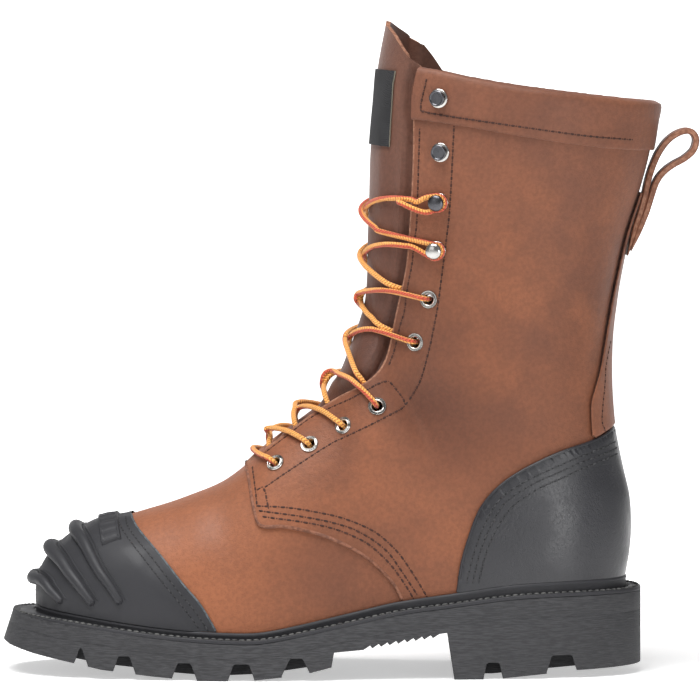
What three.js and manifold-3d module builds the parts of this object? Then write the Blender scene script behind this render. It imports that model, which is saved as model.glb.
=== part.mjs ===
import * as THREE from "three";
import Module from "manifold-3d";
import { mergeVertices } from "three/addons/utils/BufferGeometryUtils.js";

const wasm = await Module();
wasm.setup();

// A left work boot with a rubber toe bumper. Millimetres, toe towards -X, the wearer's left side
// towards -Y, +Z up, and the origin on the floor under the flat front part of the heel.

// Upper, measured over the vamp leather
const UPPER_LENGTH = 283.4;
const UPPER_BACK = 77.1;
const COLLAR_HEIGHT = 291;
const BALL_WIDTH = 100;
const COLLAR_WIDTH = 96;
const TOE_ROUND_LENGTH = 58;
const TOE_CROWN_LENGTH = 34;
const TOE_SQUARENESS = 2.3;
const SHAFT_SQUARENESS = 2.3;
const INSTEP_BLEND = 600;
const BLEND_SETBACK = 39;
const FOOT_REAR = 0.08;
const FOOT_REAR_ROUND = 60;
const VAMP_WALL = 2.0;
const QUARTER_STEP = 1.2;
const CLEARANCE = 0.3;

// Sole
const SOLE_LENGTH = 309.5;
const SOLE_BACK = 84.6;
const HEEL_HEIGHT = 41.5;
const SIDE_MARGIN = 7.5;
const TOE_MARGIN = 15.7;
const HEEL_MARGIN = 11.3;
const TOE_FLARE = 5.8;
const TOE_SOLE_MIDDLE = 23;
const TOE_SOLE_THICKNESS = 18;
const FLARE_REACH = 30;
const WELT_THICKNESS = 2.0;
const MIDSOLE_THICKNESS = 7.2;
const HEEL_THICKENING = 2.2;
const LUG_DEPTH = 8.0;
const LUG_REACH = 30;
const CHANNEL_WIDTH = 5.5;
const BEAD_WIDTH = 2.8;
const INSOLE_THICKNESS = 4.0;
const HEEL_BREAST = 0.305;

// Pieces laid on the upper
const TOE_CAP_THICKNESS = 2.5;
const TOE_RIB_HEIGHT = 3.2;
const TOE_RIB_WIDTH = 7.4;
const TOE_RIB_TAPER = 0.45;
const TOE_RIB_RUN_OUT = 8;
const BADGE_HEIGHT = 1.5;
const COUNTER_THICKNESS = 1.7;
const COLLAR_BAND_THICKNESS = 1.5;
const BACKSTAY_THICKNESS = 1.7;
const BACKSTAY_WIDTH = 20;
const LOOP_WIDTH = 18;
const TONGUE_THICKNESS = 3.0;
const TONGUE_BULGE = 1.8;
const TONGUE_CLEARANCE = 1.3;
const FACING_REACH = 6;
const TONGUE_TUCK = 11;
const LABEL_THICKNESS = 0.8;
const LABEL_LIFT = 0.5;

// Hardware and laces
const EYELET_RADIUS = 4.4;
const EYELET_HOLE_RADIUS = 2.4;
const EYELET_BARREL_RADIUS = 2.9;
const HOOK_BASE_RADIUS = 4.45;
const HOOK_NECK_RADIUS = 1.8;
const HOOK_HEAD_RADIUS = 3.8;
const HOOK_HEIGHT = 6.8;
const LACE_RADIUS = 1.3;
const HOOK_LACE_LIFT = 4.4;
const HOOK_TURN_SHARE = 0.15;
const BAR_END_LIFT = 4.6;
const BAR_RISE = 2.6;

const ROUND_SIDES = 8;
const LACE_SIDES = 6;
const HALF_GIRTH_STEPS = 8;
const FACET_TOLERANCE = 0.06;
const SEAT_REACH = 12;
const FAR = 400;
const BAND_FRONT = -270;
const BAND_BACK = 130;

// Foot sections from heel to toe: along the upper's length, the crown's height as a share of the
// collar height, and each side's half width and the crown's inward set as shares of the ball width
const FOOT = [
  { along: -0.05, crown: 0.45, lateral: 0.33, medial: 0.33, inward: 0 },
  { along: 0.133, crown: 0.56, lateral: 0.345, medial: 0.335, inward: 0 },
  { along: 0.239, crown: 0.6, lateral: 0.37, medial: 0.35, inward: 0 },
  { along: 0.344, crown: 0.605, lateral: 0.4, medial: 0.365, inward: 0 },
  { along: 0.415, crown: 0.595, lateral: 0.425, medial: 0.385, inward: 0.004 },
  { along: 0.444, crown: 0.572, lateral: 0.44, medial: 0.398, inward: 0.007 },
  { along: 0.464, crown: 0.533, lateral: 0.449, medial: 0.406, inward: 0.009 },
  { along: 0.485, crown: 0.488, lateral: 0.46, medial: 0.417, inward: 0.012 },
  { along: 0.524, crown: 0.449, lateral: 0.48, medial: 0.437, inward: 0.017 },
  { along: 0.563, crown: 0.421, lateral: 0.497, medial: 0.456, inward: 0.022 },
  { along: 0.607, crown: 0.386, lateral: 0.51, medial: 0.472, inward: 0.028 },
  { along: 0.64, crown: 0.35, lateral: 0.515, medial: 0.481, inward: 0.033 },
  { along: 0.68, crown: 0.319, lateral: 0.514, medial: 0.487, inward: 0.04 },
  { along: 0.719, crown: 0.3, lateral: 0.508, medial: 0.488, inward: 0.047 },
  { along: 0.761, crown: 0.284, lateral: 0.499, medial: 0.484, inward: 0.055 },
  { along: 0.821, crown: 0.266, lateral: 0.484, medial: 0.472, inward: 0.064 },
  { along: 0.877, crown: 0.25, lateral: 0.468, medial: 0.458, inward: 0.071 },
  { along: 0.926, crown: 0.237, lateral: 0.456, medial: 0.448, inward: 0.077 },
  { along: 1, crown: 0.222, lateral: 0.44, medial: 0.436, inward: 0.084 },
];

// Leg sections from the heel seat to above the collar: height as a share of the collar height,
// front and back as shares of the upper's length, half width as a share of the collar width
const LEG = [
  { up: 0, front: 0.32, back: 0.03, half: 0.33 },
  { up: 0.13, front: 0.34, back: 0.02, half: 0.349 },
  { up: 0.162, front: 0.35, back: 0.015, half: 0.357 },
  { up: 0.2, front: 0.36, back: 0.008, half: 0.362 },
  { up: 0.241, front: 0.37, back: 0.005, half: 0.363 },
  { up: 0.289, front: 0.38, back: 0.008, half: 0.36 },
  { up: 0.33, front: 0.388, back: 0.018, half: 0.365 },
  { up: 0.368, front: 0.395, back: 0.027, half: 0.378 },
  { up: 0.405, front: 0.4, back: 0.034, half: 0.395 },
  { up: 0.48, front: 0.41, back: 0.04, half: 0.415 },
  { up: 0.55, front: 0.418, back: 0.039, half: 0.422 },
  { up: 0.608, front: 0.427, back: 0.032, half: 0.427 },
  { up: 0.68, front: 0.432, back: 0.017, half: 0.436 },
  { up: 0.736, front: 0.433, back: 0.003, half: 0.447 },
  { up: 0.793, front: 0.432, back: -0.016, half: 0.463 },
  { up: 0.846, front: 0.431, back: -0.031, half: 0.48 },
  { up: 0.89, front: 0.428, back: -0.04, half: 0.492 },
  { up: 0.944, front: 0.423, back: -0.046, half: 0.5 },
  { up: 1, front: 0.418, back: -0.049, half: 0.505 },
  { up: 1.075, front: 0.404, back: -0.053, half: 0.507 },
  { up: 1.2, front: 0.38, back: -0.063, half: 0.51 },
];

// Lines of sight across the form, from its front ridge to its bottom or back edge
const GIRTHS = [
  { front: [0.9995, 0.3], end: [0.9995, 0] },
  { front: [0.994, 0.3], end: [0.994, 0] },
  { front: [0.978, 0.3], end: [0.978, 0] },
  { front: [0.945, 0.35], end: [0.945, 0] },
  { front: [0.89, 0.35], end: [0.89, 0] },
  { front: [0.84, 0.4], end: [0.84, 0] },
  { front: [0.79, 0.4], end: [0.79, 0] },
  { front: [0.735, 0.4], end: [0.735, 0] },
  { front: [0.68, 0.4], end: [0.675, 0] },
  { front: [0.64, 0.4], end: [0.615, 0] },
  { front: [0.605, 0.41], end: [0.545, 0] },
  { front: [0.57, 0.44], end: [0.475, 0] },
  { front: [0.54, 0.46], end: [0.405, 0] },
  { front: [0.515, 0.48], end: [0.335, 0] },
  { front: [0.5, 0.505], end: [0.265, 0] },
  { front: [0.485, 0.53], end: [0.195, 0] },
  { front: [0.475, 0.55], end: [0.14, 0] },
  { front: [0.468, 0.567], end: [0.095, 0] },
  { front: [0.463, 0.58], end: [0.06, 0] },
  { front: [0.46, 0.592], end: [0.036, 0] },
  { front: [0.457, 0.602], end: [0.02, 0.07], back: true },
  { front: [0.452, 0.63], end: [0.01, 0.165], back: true },
  { front: [0.45, 0.645], end: [0.004, 0.21], back: true },
  { front: [0.449, 0.66], end: [0.004, 0.265], back: true },
  { front: [0.448, 0.675], end: [0.014, 0.33], back: true },
  { front: [0.447, 0.69], end: [0.03, 0.4], back: true },
  { front: [0.446, 0.71], end: [0.035, 0.47], back: true },
  { front: [0.445, 0.765], end: [0.03, 0.62], back: true },
  { front: [0.444, 0.8], end: [0.01, 0.7], back: true },
  { front: [0.444, 0.845], end: [-0.01, 0.785], back: true },
  { front: [0.442, 0.895], end: [-0.035, 0.86], back: true },
  { front: [0.438, 1.01], end: [-0.05, 0.975], back: true },
  { front: [0.43, 1.14], end: [-0.055, 1.1], back: true },
];

// Top line of the sole edge and its ground line: along the sole's length from the heel, and
// heights as shares of the heel height
const SOLE_TOP = [
  { along: -0.05, level: 1.005 },
  { along: 0, level: 1 },
  { along: 0.191, level: 0.966 },
  { along: 0.31, level: 0.86 },
  { along: 0.382, level: 0.79 },
  { along: 0.456, level: 0.675 },
  { along: 0.569, level: 0.5 },
  { along: 0.61, level: 0.465 },
  { along: 0.7, level: 0.49 },
  { along: 0.766, level: 0.537 },
  { along: 0.876, level: 0.646 },
  { along: 0.934, level: 0.7 },
  { along: 1.03, level: 0.85 },
];
const HEEL_GROUND = [
  { along: -0.02, level: 0.116 },
  { along: 0.02, level: 0.109 },
  { along: 0.105, level: 0.09 },
  { along: 0.17, level: 0.045 },
  { along: 0.235, level: 0 },
  { along: 0.295, level: 0 },
];
const WAIST_GROUND = [
  { along: 0.306, level: 0.54 },
  { along: 0.36, level: 0.48 },
  { along: 0.442, level: 0.38 },
  { along: 0.48, level: 0.325 },
];
const BALL_GROUND = [
  { along: 0.484, level: 0.155 },
  { along: 0.516, level: 0.095 },
  { along: 0.56, level: 0.045 },
  { along: 0.602, level: 0.012 },
  { along: 0.64, level: 0 },
  { along: 0.69, level: 0 },
  { along: 0.76, level: 0.045 },
  { along: 0.84, level: 0.112 },
  { along: 0.877, level: 0.168 },
  { along: 0.945, level: 0.26 },
  { along: 0.985, level: 0.33 },
  { along: 1.01, level: 0.4 },
];

// Gaps between the side lugs, along the sole's length, narrower at the top by the two slants
const LUG_GAPS = [
  { from: 0.105, to: 0.152, slant: 2.2 },
  { from: 0.22, to: 0.25, slant: 1.4 },
  { from: 0.516, to: 0.56, slant: 3.4 },
  { from: 0.602, to: 0.643, slant: 2.4 },
  { from: 0.691, to: 0.73, slant: 2.6 },
  { from: 0.786, to: 0.821, slant: 2.4 },
  { from: 0.86, to: 0.882, slant: 2.6 },
];
const CENTRE_GAPS = [0.54, 0.585, 0.665, 0.755, 0.84];
const WAIST_TEETH = { from: 0.318, to: 0.438, count: 9, depth: 1.5 };
const BEAD_RISE = [
  { along: 0, rise: 5.6 },
  { along: 0.3, rise: 4.6 },
  { along: 0.6, rise: 3.2 },
  { along: 1, rise: 3.0 },
];

// Outlines in the side view: along the upper's length from its back, up to the collar height
const FACING_EDGE = [
  [0.647, 0.34], [0.604, 0.372], [0.554, 0.406], [0.501, 0.439], [0.476, 0.455], [0.451, 0.475],
  [0.432, 0.492], [0.419, 0.508], [0.406, 0.538], [0.389, 0.606], [0.374, 0.677], [0.367, 0.767],
  [0.363, 0.85], [0.362, 0.92], [0.36, 0.975], [0.353, 1.001], [0.335, 1.2],
];
const QUARTER_EDGE = [
  [0.647, 0.345], [0.641, 0.322], [0.632, 0.274], [0.62, 0.25], [0.579, 0.249], [0.522, 0.237],
  [0.473, 0.217], [0.439, 0.196], [0.411, 0.17], [0.394, 0.149], [0.38, 0.12],
];
const TOE_CAP_EDGE = [
  [0.856, 0.3], [0.849, 0.271], [0.834, 0.245], [0.792, 0.202], [0.753, 0.157], [0.721, 0.121],
  [0.69, 0.07],
];
const COUNTER_EDGE = [
  [0.295, 0.1], [0.291, 0.143], [0.284, 0.19], [0.27, 0.237], [0.253, 0.278], [0.228, 0.309],
  [0.196, 0.334], [0.159, 0.354], [0.117, 0.372], [0.07, 0.386], [0.043, 0.398], [0.01, 0.418],
];
const COLLAR_TOP = [
  [0.353, 1.002], [0.323, 0.997], [0.253, 0.982], [0.172, 0.969], [0.092, 0.959], [0, 0.949],
  [-0.09, 0.942],
];
const COLLAR_BAND_LOW = [
  [0.37, 0.917], [0.295, 0.908], [0.181, 0.889], [0.078, 0.874], [0.01, 0.868], [-0.09, 0.863],
];
const TONGUE_TOP = [
  [0.44, 1.084], [0.411, 1.074], [0.394, 1.056], [0.379, 1.031], [0.355, 0.997], [0.3, 0.92],
];
const TOE_RIBS = [
  { apex: [0.938, 0.262], middle: [0.915, 0.19], end: [0.864, 0.122], width: 1 },
  { apex: [0.978, 0.225], middle: [0.958, 0.175], end: [0.913, 0.119], width: 0.95 },
  { apex: [1.0, 0.175], middle: [0.99, 0.155], end: [0.962, 0.118], width: 0.8 },
];
// A rib's rounded section, as two steps: shares of its width and height
const RIB_STEPS = [{ width: 1, height: 0.6 }, { width: 0.55, height: 1 }];
const BADGE = [[0.904, 0.3], [0.862, 0.3], [0.858, 0.238], [0.89, 0.222]];
const LOOP_OUTER = [
  [-0.02, 0.85], [-0.051, 0.857], [-0.062, 0.885], [-0.084, 0.9], [-0.109, 0.902], [-0.123, 0.889],
  [-0.121, 0.868],
  [-0.106, 0.844], [-0.078, 0.829], [-0.056, 0.815], [-0.047, 0.796], [-0.01, 0.796],
];
const LOOP_INNER = [
  [-0.058, 0.842], [-0.07, 0.864], [-0.088, 0.884], [-0.104, 0.886], [-0.108, 0.873], [-0.096, 0.855],
  [-0.077, 0.843],
];
const EYELETS = [
  [0.595, 0.349], [0.538, 0.38], [0.48, 0.412], [0.425, 0.445], [0.359, 0.551], [0.337, 0.622],
];
const HOOKS = [
  { place: [0.324, 0.702] }, { place: [0.32, 0.781] }, { place: [0.318, 0.863] },
  { place: [0.318, 0.951], onBand: true },
];
// Where the lacing crosses the ridge in front of each eyelet and of the two laced hooks
const LACE_CROWNS = [
  [0.625, 0.355], [0.58, 0.395], [0.53, 0.435], [0.475, 0.5], [0.445, 0.57], [0.437, 0.64],
  [0.437, 0.715], [0.436, 0.79],
];

// Places and curves in the side view
const sideX = (along) => UPPER_BACK - along * UPPER_LENGTH;
const sideZ = (up) => up * COLLAR_HEIGHT;
const side = ([along, up]) => new THREE.Vector2(sideX(along), sideZ(up));
const soleX = (along) => SOLE_BACK - along * SOLE_LENGTH;

function curveOf(rows, key, column) {
  // A smooth function through one column of a table, straight beyond its ends
  const slope = (i) => {
    const low = rows[Math.max(i - 1, 0)];
    const high = rows[Math.min(i + 1, rows.length - 1)];
    return (high[column] - low[column]) / (high[key] - low[key]);
  };
  return (at) => {
    const last = rows.length - 1;
    if (at <= rows[0][key]) return rows[0][column] + slope(0) * (at - rows[0][key]);
    if (at >= rows[last][key]) return rows[last][column] + slope(last) * (at - rows[last][key]);
    const i = rows.findIndex((row) => row[key] > at) - 1;
    const span = rows[i + 1][key] - rows[i][key];
    const t = (at - rows[i][key]) / span;
    const ease = t * t * (3 - 2 * t);
    const rise = (t - 2 * t * t + t * t * t) * span * slope(i);
    const fall = (t * t * t - t * t) * span * slope(i + 1);
    return rows[i][column] * (1 - ease) + rows[i + 1][column] * ease + rise + fall;
  };
}

const footCrown = curveOf(FOOT, "along", "crown");
const footLateral = curveOf(FOOT, "along", "lateral");
const footMedial = curveOf(FOOT, "along", "medial");
const footInward = curveOf(FOOT, "along", "inward");
const legFront = curveOf(LEG, "up", "front");
const legBack = curveOf(LEG, "up", "back");
const legHalf = curveOf(LEG, "up", "half");
const soleTopShare = curveOf(SOLE_TOP, "along", "level");
const beadRise = curveOf(BEAD_RISE, "along", "rise");

const soleTop = (x) => HEEL_HEIGHT * soleTopShare((SOLE_BACK - x) / SOLE_LENGTH);
const seat = (x) => soleTop(x) - WELT_THICKNESS;
const beadTop = (x) => soleTop(x) + beadRise((SOLE_BACK - x) / SOLE_LENGTH);
const ridge = (x) => BALL_WIDTH * footInward((UPPER_BACK - x) / UPPER_LENGTH);

function roundEnd(distance, length, power) {
  // Grows from 0 at an end to 1 at the given length, along a superellipse
  if (distance >= length) return 1;
  if (distance <= 0) return 0;
  return Math.pow(1 - Math.pow(1 - distance / length, power), 1 / power);
}

// Square of the foot's half width, negative outside it
function footWidthSquared(x, z, half) {
  const along = (UPPER_BACK - x) / UPPER_LENGTH;
  const fromToe = (1 - along) * UPPER_LENGTH;
  const fromHeel = (along - FOOT_REAR) * UPPER_LENGTH;
  const rounding = roundEnd(fromToe, TOE_ROUND_LENGTH, TOE_SQUARENESS)
    * roundEnd(fromHeel, FOOT_REAR_ROUND, 2);
  const width = BALL_WIDTH * half(along) * rounding;
  const core = BALL_WIDTH * half(along);
  if (fromToe <= 0 || fromHeel <= 0) return -core * core * 0.05 * (1 + Math.max(-fromToe, -fromHeel));
  const widest = soleTop(x) + 8;
  const crown = widest + (sideZ(footCrown(along)) - widest) * roundEnd(fromToe, TOE_CROWN_LENGTH, 2.2);
  if (z <= widest) {
    const tuck = 1 - 0.05 * Math.pow((widest - z) / 20, 2);
    return Math.pow(width * Math.max(tuck, 0.5), 2);
  }
  const rise = (z - widest) / Math.max(crown - widest, 0.01);
  if (rise >= 1) return -core * core * (rise * rise - 1);
  return width * width * Math.pow(1 - Math.pow(rise, 2.15), 2 / 2.15);
}

// Square of the leg's half width, negative outside it
function legWidthSquared(x, z) {
  const up = z / COLLAR_HEIGHT;
  const front = sideX(legFront(up));
  const back = sideX(legBack(up));
  const half = COLLAR_WIDTH * legHalf(up);
  const share = (2 * x - front - back) / (back - front);
  const rest = 1 - share * share;
  if (rest <= 0) return half * half * rest;
  return half * half * Math.pow(rest, 2 / SHAFT_SQUARENESS);
}

// The form of the last: foot and leg run into each other with a soft fillet
function widthSquared(x, z, lateral) {
  const foot = footWidthSquared(x, z, lateral ? footLateral : footMedial);
  const leg = legWidthSquared(x, z);
  return (foot + leg + Math.hypot(foot - leg, INSTEP_BLEND)) / 2 - BLEND_SETBACK;
}

function surfacePoint(x, z, lateral) {
  const half = Math.sqrt(Math.max(widthSquared(x, z, lateral), 0));
  return new THREE.Vector3(x, ridge(x) + (lateral ? -half : half), z);
}

function surfaceNormal(point, lateral) {
  // Outward direction, from the slope of the squared width
  const step = 0.4;
  const across = point.y - ridge(point.x);
  const slopeX = (widthSquared(point.x + step, point.z, lateral)
    - widthSquared(point.x - step, point.z, lateral)) / (2 * step);
  const slopeZ = (widthSquared(point.x, point.z + step, lateral)
    - widthSquared(point.x, point.z - step, lateral)) / (2 * step);
  return new THREE.Vector3(-slopeX, 2 * across, -slopeZ).normalize();
}

const liftedPoint = (x, z, lateral, offset) => {
  const point = surfacePoint(x, z, lateral);
  return point.addScaledVector(surfaceNormal(point, lateral), offset);
};

function crossing(inside, outside) {
  // Where a line of sight leaves the form, on its way from a point inside it
  let low = 0;
  let high = 1;
  for (let i = 0; i < 40; i += 1) {
    const middle = (low + high) / 2;
    const at = inside.clone().lerp(outside, middle);
    if (widthSquared(at.x, at.y, true) > 0) low = middle;
    else high = middle;
  }
  return inside.clone().lerp(outside, low);
}

function girthEnds(row) {
  const front = side(row.front);
  const end = side(row.end);
  const inside = row.back ? front.clone().lerp(end, 0.5) : front.clone().lerp(end, 0.85);
  const beyondFront = front.clone().addScaledVector(front.clone().sub(end), 0.2);
  const beyondEnd = end.clone().addScaledVector(end.clone().sub(front), 0.2);
  return { front: crossing(inside, beyondFront), end: row.back ? crossing(inside, beyondEnd) : end };
}

function girthPoint(ends, turn, back) {
  // Turn 0 is the front ridge and 1 the far end of the line of sight
  const share = back ? (1 - Math.cos(Math.PI * turn)) / 2 : 1 - Math.cos((Math.PI * turn) / 2);
  return ends.front.clone().lerp(ends.end, share);
}

// Solids
function solidOf(positions, triangles) {
  // A closed solid from vertices and triangles, with shared vertices merged
  const source = new THREE.BufferGeometry();
  source.setAttribute("position", new THREE.Float32BufferAttribute(positions, 3));
  source.setIndex(triangles);
  return solidFrom(source);
}

function solidFrom(source) {
  const bare = source.clone();
  bare.deleteAttribute("normal");
  bare.deleteAttribute("uv");
  const merged = mergeVertices(bare, 1e-4);
  const index = merged.index.array;
  const kept = [];
  for (let i = 0; i < index.length; i += 3) {
    const [a, b, c] = [index[i], index[i + 1], index[i + 2]];
    if (a !== b && b !== c && c !== a) kept.push(a, b, c);
  }
  const build = (order) => new wasm.Manifold(new wasm.Mesh({
    numProp: 3,
    vertProperties: new Float32Array(merged.attributes.position.array),
    triVerts: new Uint32Array(order),
  }));
  const solid = build(kept);
  if (solid.volume() > 0) return solid;
  const turned = [];
  for (let i = 0; i < kept.length; i += 3) turned.push(kept[i], kept[i + 2], kept[i + 1]);
  return build(turned);
}

function gridSolid(rows) {
  // A closed solid from rings of points: neighbouring rings are joined, and each end is closed
  // by strips between the two halves of its ring
  const positions = rows.flat().flatMap((point) => [point.x, point.y, point.z]);
  const count = rows[0].length;
  const triangles = [];
  for (let i = 0; i + 1 < rows.length; i += 1) {
    for (let j = 0; j < count; j += 1) {
      const a = i * count + j;
      const b = i * count + ((j + 1) % count);
      triangles.push(a, b, a + count, b, b + count, a + count);
    }
  }
  const last = (rows.length - 1) * count;
  for (let j = 0; j + 1 < count - 1 - j; j += 1) {
    const far = count - 1 - j;
    triangles.push(j + 1, j, far, last + j, last + j + 1, last + far);
    if (far - 1 > j + 1) triangles.push(j + 1, far, far - 1, last + j + 1, last + far - 1, last + far);
  }
  return solidOf(positions, triangles);
}

const formSolids = new Map();
function form(offset) {
  // The solid form of the last, grown outwards by an offset
  if (!formSolids.has(offset)) {
    const rows = GIRTHS.map((row) => {
      const ends = girthEnds(row);
      const ring = [];
      for (let j = -HALF_GIRTH_STEPS; j <= HALF_GIRTH_STEPS; j += 1) {
        const at = girthPoint(ends, Math.abs(j) / HALF_GIRTH_STEPS, row.back);
        if (j > -HALF_GIRTH_STEPS || !row.back) ring.push(liftedPoint(at.x, at.y, j < 0, offset));
        else ring.push(liftedPoint(at.x, at.y, false, offset));
      }
      return ring;
    });
    formSolids.set(offset, gridSolid(rows));
  }
  return formSolids.get(offset);
}

const shell = (outer, inner) => form(outer).subtract(form(inner));

function sidePrism(points, from = -FAR, to = FAR) {
  // A slab of constant outline in the side view, between two places across the boot
  const outline = new THREE.Shape(points);
  const slab = new THREE.ExtrudeGeometry(outline, { depth: to - from, bevelEnabled: false });
  slab.rotateX(Math.PI / 2);
  slab.translate(0, to, 0);
  return solidFrom(slab);
}

function smooth(points, perSpan = 2) {
  return new THREE.SplineCurve(points).getPoints((points.length - 1) * perSpan);
}

const corner = (x, z) => new THREE.Vector2(x, z);
const facingEdge = smooth(FACING_EDGE.map(side), 1);
const quarterEdge = smooth(QUARTER_EDGE.map(side));
const toeCapEdge = smooth(TOE_CAP_EDGE.map(side), 1);
const counterEdge = smooth(COUNTER_EDGE.map(side), 1);
const collarTop = COLLAR_TOP.map(side);
const bandLow = COLLAR_BAND_LOW.map(side);

const quarterZone = sidePrism([
  ...quarterEdge, corner(sideX(0.38), -FAR), corner(FAR, -FAR), corner(FAR, FAR),
  corner(sideX(0.647), FAR),
]);
const throatZone = sidePrism([
  ...facingEdge, corner(sideX(0.335), FAR), corner(sideX(0.9), FAR), corner(sideX(0.68), sideZ(0.45)),
]);
const toeCapZone = sidePrism([
  corner(-FAR, FAR), ...toeCapEdge, corner(sideX(0.69), -FAR), corner(-FAR, -FAR),
]);
const counterZone = sidePrism([
  corner(sideX(0.295), -FAR), ...counterEdge, corner(FAR, sideZ(0.418)), corner(FAR, -FAR),
]);
const aboveCollar = sidePrism([
  corner(sideX(0.353), FAR), ...collarTop, corner(FAR, sideZ(0.94)), corner(FAR, FAR),
]);
const bandZone = sidePrism([...collarTop, ...[...bandLow].reverse()]);

function levelBand(low, high, step = 25) {
  // A slab between two height lines that run along the boot
  const points = [];
  for (let x = BAND_FRONT; x <= BAND_BACK; x += step) points.push(corner(x, low(x)));
  for (let x = BAND_BACK; x >= BAND_FRONT; x -= step) points.push(corner(x, high(x)));
  return sidePrism(points);
}

const deep = () => -FAR;
const tall = () => FAR;

// Upper
function planOutline(level, steps = 18) {
  // The form's outline at a height line, from the heel round the lateral side to the toe and back
  const toe = sideX(0.9998);
  const seatX = sideX(0.13);
  const heel = crossing(corner(seatX, level(seatX)), corner(BAND_BACK, level(UPPER_BACK))).x - 0.02;
  const half = [];
  for (let i = 0; i <= steps; i += 1) {
    half.push(heel + ((toe - heel) * (1 - Math.cos((Math.PI * i) / steps))) / 2);
  }
  const lateral = half.map((x) => surfacePoint(x, level(x), true));
  const medial = half.map((x) => surfacePoint(x, level(x), false));
  return [...medial, ...lateral.slice(1, -1).reverse()].map((p) => new THREE.Vector2(p.x, p.y));
}

const lastOutline = planOutline((x) => soleTop(x) + 1);

function grownOutline(toeGrowth, sideGrowth, heelGrowth) {
  // The last's outline moved outwards, further at the toe and at the heel than at the sides
  const count = lastOutline.length;
  return lastOutline.map((point, i) => {
    const before = lastOutline[(i + count - 1) % count];
    const after = lastOutline[(i + 1) % count];
    const out = new THREE.Vector2(after.y - before.y, before.x - after.x).normalize();
    const end = out.x < 0 ? toeGrowth : heelGrowth;
    const growth = sideGrowth + (end - sideGrowth) * out.x * out.x;
    return point.clone().addScaledVector(out, growth);
  });
}

function outlineLoft(lowOutline, lowZ, highOutline, highZ) {
  const ring = (outline, z) => outline.map((p) => new THREE.Vector3(p.x, p.y, z));
  const rows = [ring(lowOutline, lowZ), ring(highOutline, highZ)];
  const positions = rows.flat().flatMap((point) => [point.x, point.y, point.z]);
  const count = lowOutline.length;
  const triangles = [];
  for (let j = 0; j < count; j += 1) {
    const next = (j + 1) % count;
    triangles.push(j, next, j + count, next, next + count, j + count);
  }
  const faces = THREE.ShapeUtils.triangulateShape(highOutline, []);
  const lowFaces = THREE.ShapeUtils.triangulateShape(lowOutline, []);
  for (const [a, b, c] of faces) triangles.push(a + count, b + count, c + count);
  for (const [a, b, c] of lowFaces) triangles.push(a, c, b);
  return solidOf(positions, triangles);
}

// The sole's sides stand upright, and lean out towards the ground at the toe
const soleLean = (z) => (TOE_FLARE * (TOE_SOLE_MIDDLE - z)) / TOE_SOLE_THICKNESS;
const soleLow = TOE_SOLE_MIDDLE - FLARE_REACH;
const soleHigh = TOE_SOLE_MIDDLE + FLARE_REACH;
const soleBlock = outlineLoft(
  grownOutline(TOE_MARGIN + soleLean(soleLow), SIDE_MARGIN, HEEL_MARGIN), soleLow,
  grownOutline(TOE_MARGIN + soleLean(soleHigh), SIDE_MARGIN, HEEL_MARGIN), soleHigh,
);

const junction = (x) => {
  const along = (SOLE_BACK - x) / SOLE_LENGTH;
  const thickness = MIDSOLE_THICKNESS + HEEL_THICKENING * THREE.MathUtils.smoothstep(0.5 - along, 0, 0.4);
  return soleTop(x) - WELT_THICKNESS - thickness;
};

function groundOutline() {
  // The outsole's side outline from its heel over the breast, waist and ball to the toe
  const points = [];
  for (const rows of [HEEL_GROUND, WAIST_GROUND, BALL_GROUND]) {
    for (const row of rows) points.push(corner(soleX(row.along), row.level * HEEL_HEIGHT));
  }
  const teeth = [];
  const pitch = (WAIST_TEETH.to - WAIST_TEETH.from) / WAIST_TEETH.count;
  const waist = curveOf(WAIST_GROUND, "along", "level");
  for (let i = 0; i < WAIST_TEETH.count; i += 1) {
    const start = WAIST_TEETH.from + i * pitch;
    teeth.push(corner(soleX(start), waist(start) * HEEL_HEIGHT));
    const tip = start + pitch * 0.75;
    teeth.push(corner(soleX(tip), waist(tip) * HEEL_HEIGHT - WAIST_TEETH.depth));
  }
  const first = HEEL_GROUND.length + 1;
  points.splice(first, WAIST_GROUND.length - 2, ...teeth);
  const back = [corner(FAR, -FAR), corner(FAR, points[0].y)];
  return [...back, ...points, corner(-FAR, points.at(-1).y), corner(-FAR, -FAR)];
}

const groundLevel = (along) => {
  const rows = along < HEEL_BREAST ? HEEL_GROUND : BALL_GROUND;
  return curveOf(rows, "along", "level")(along) * HEEL_HEIGHT;
};

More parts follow.
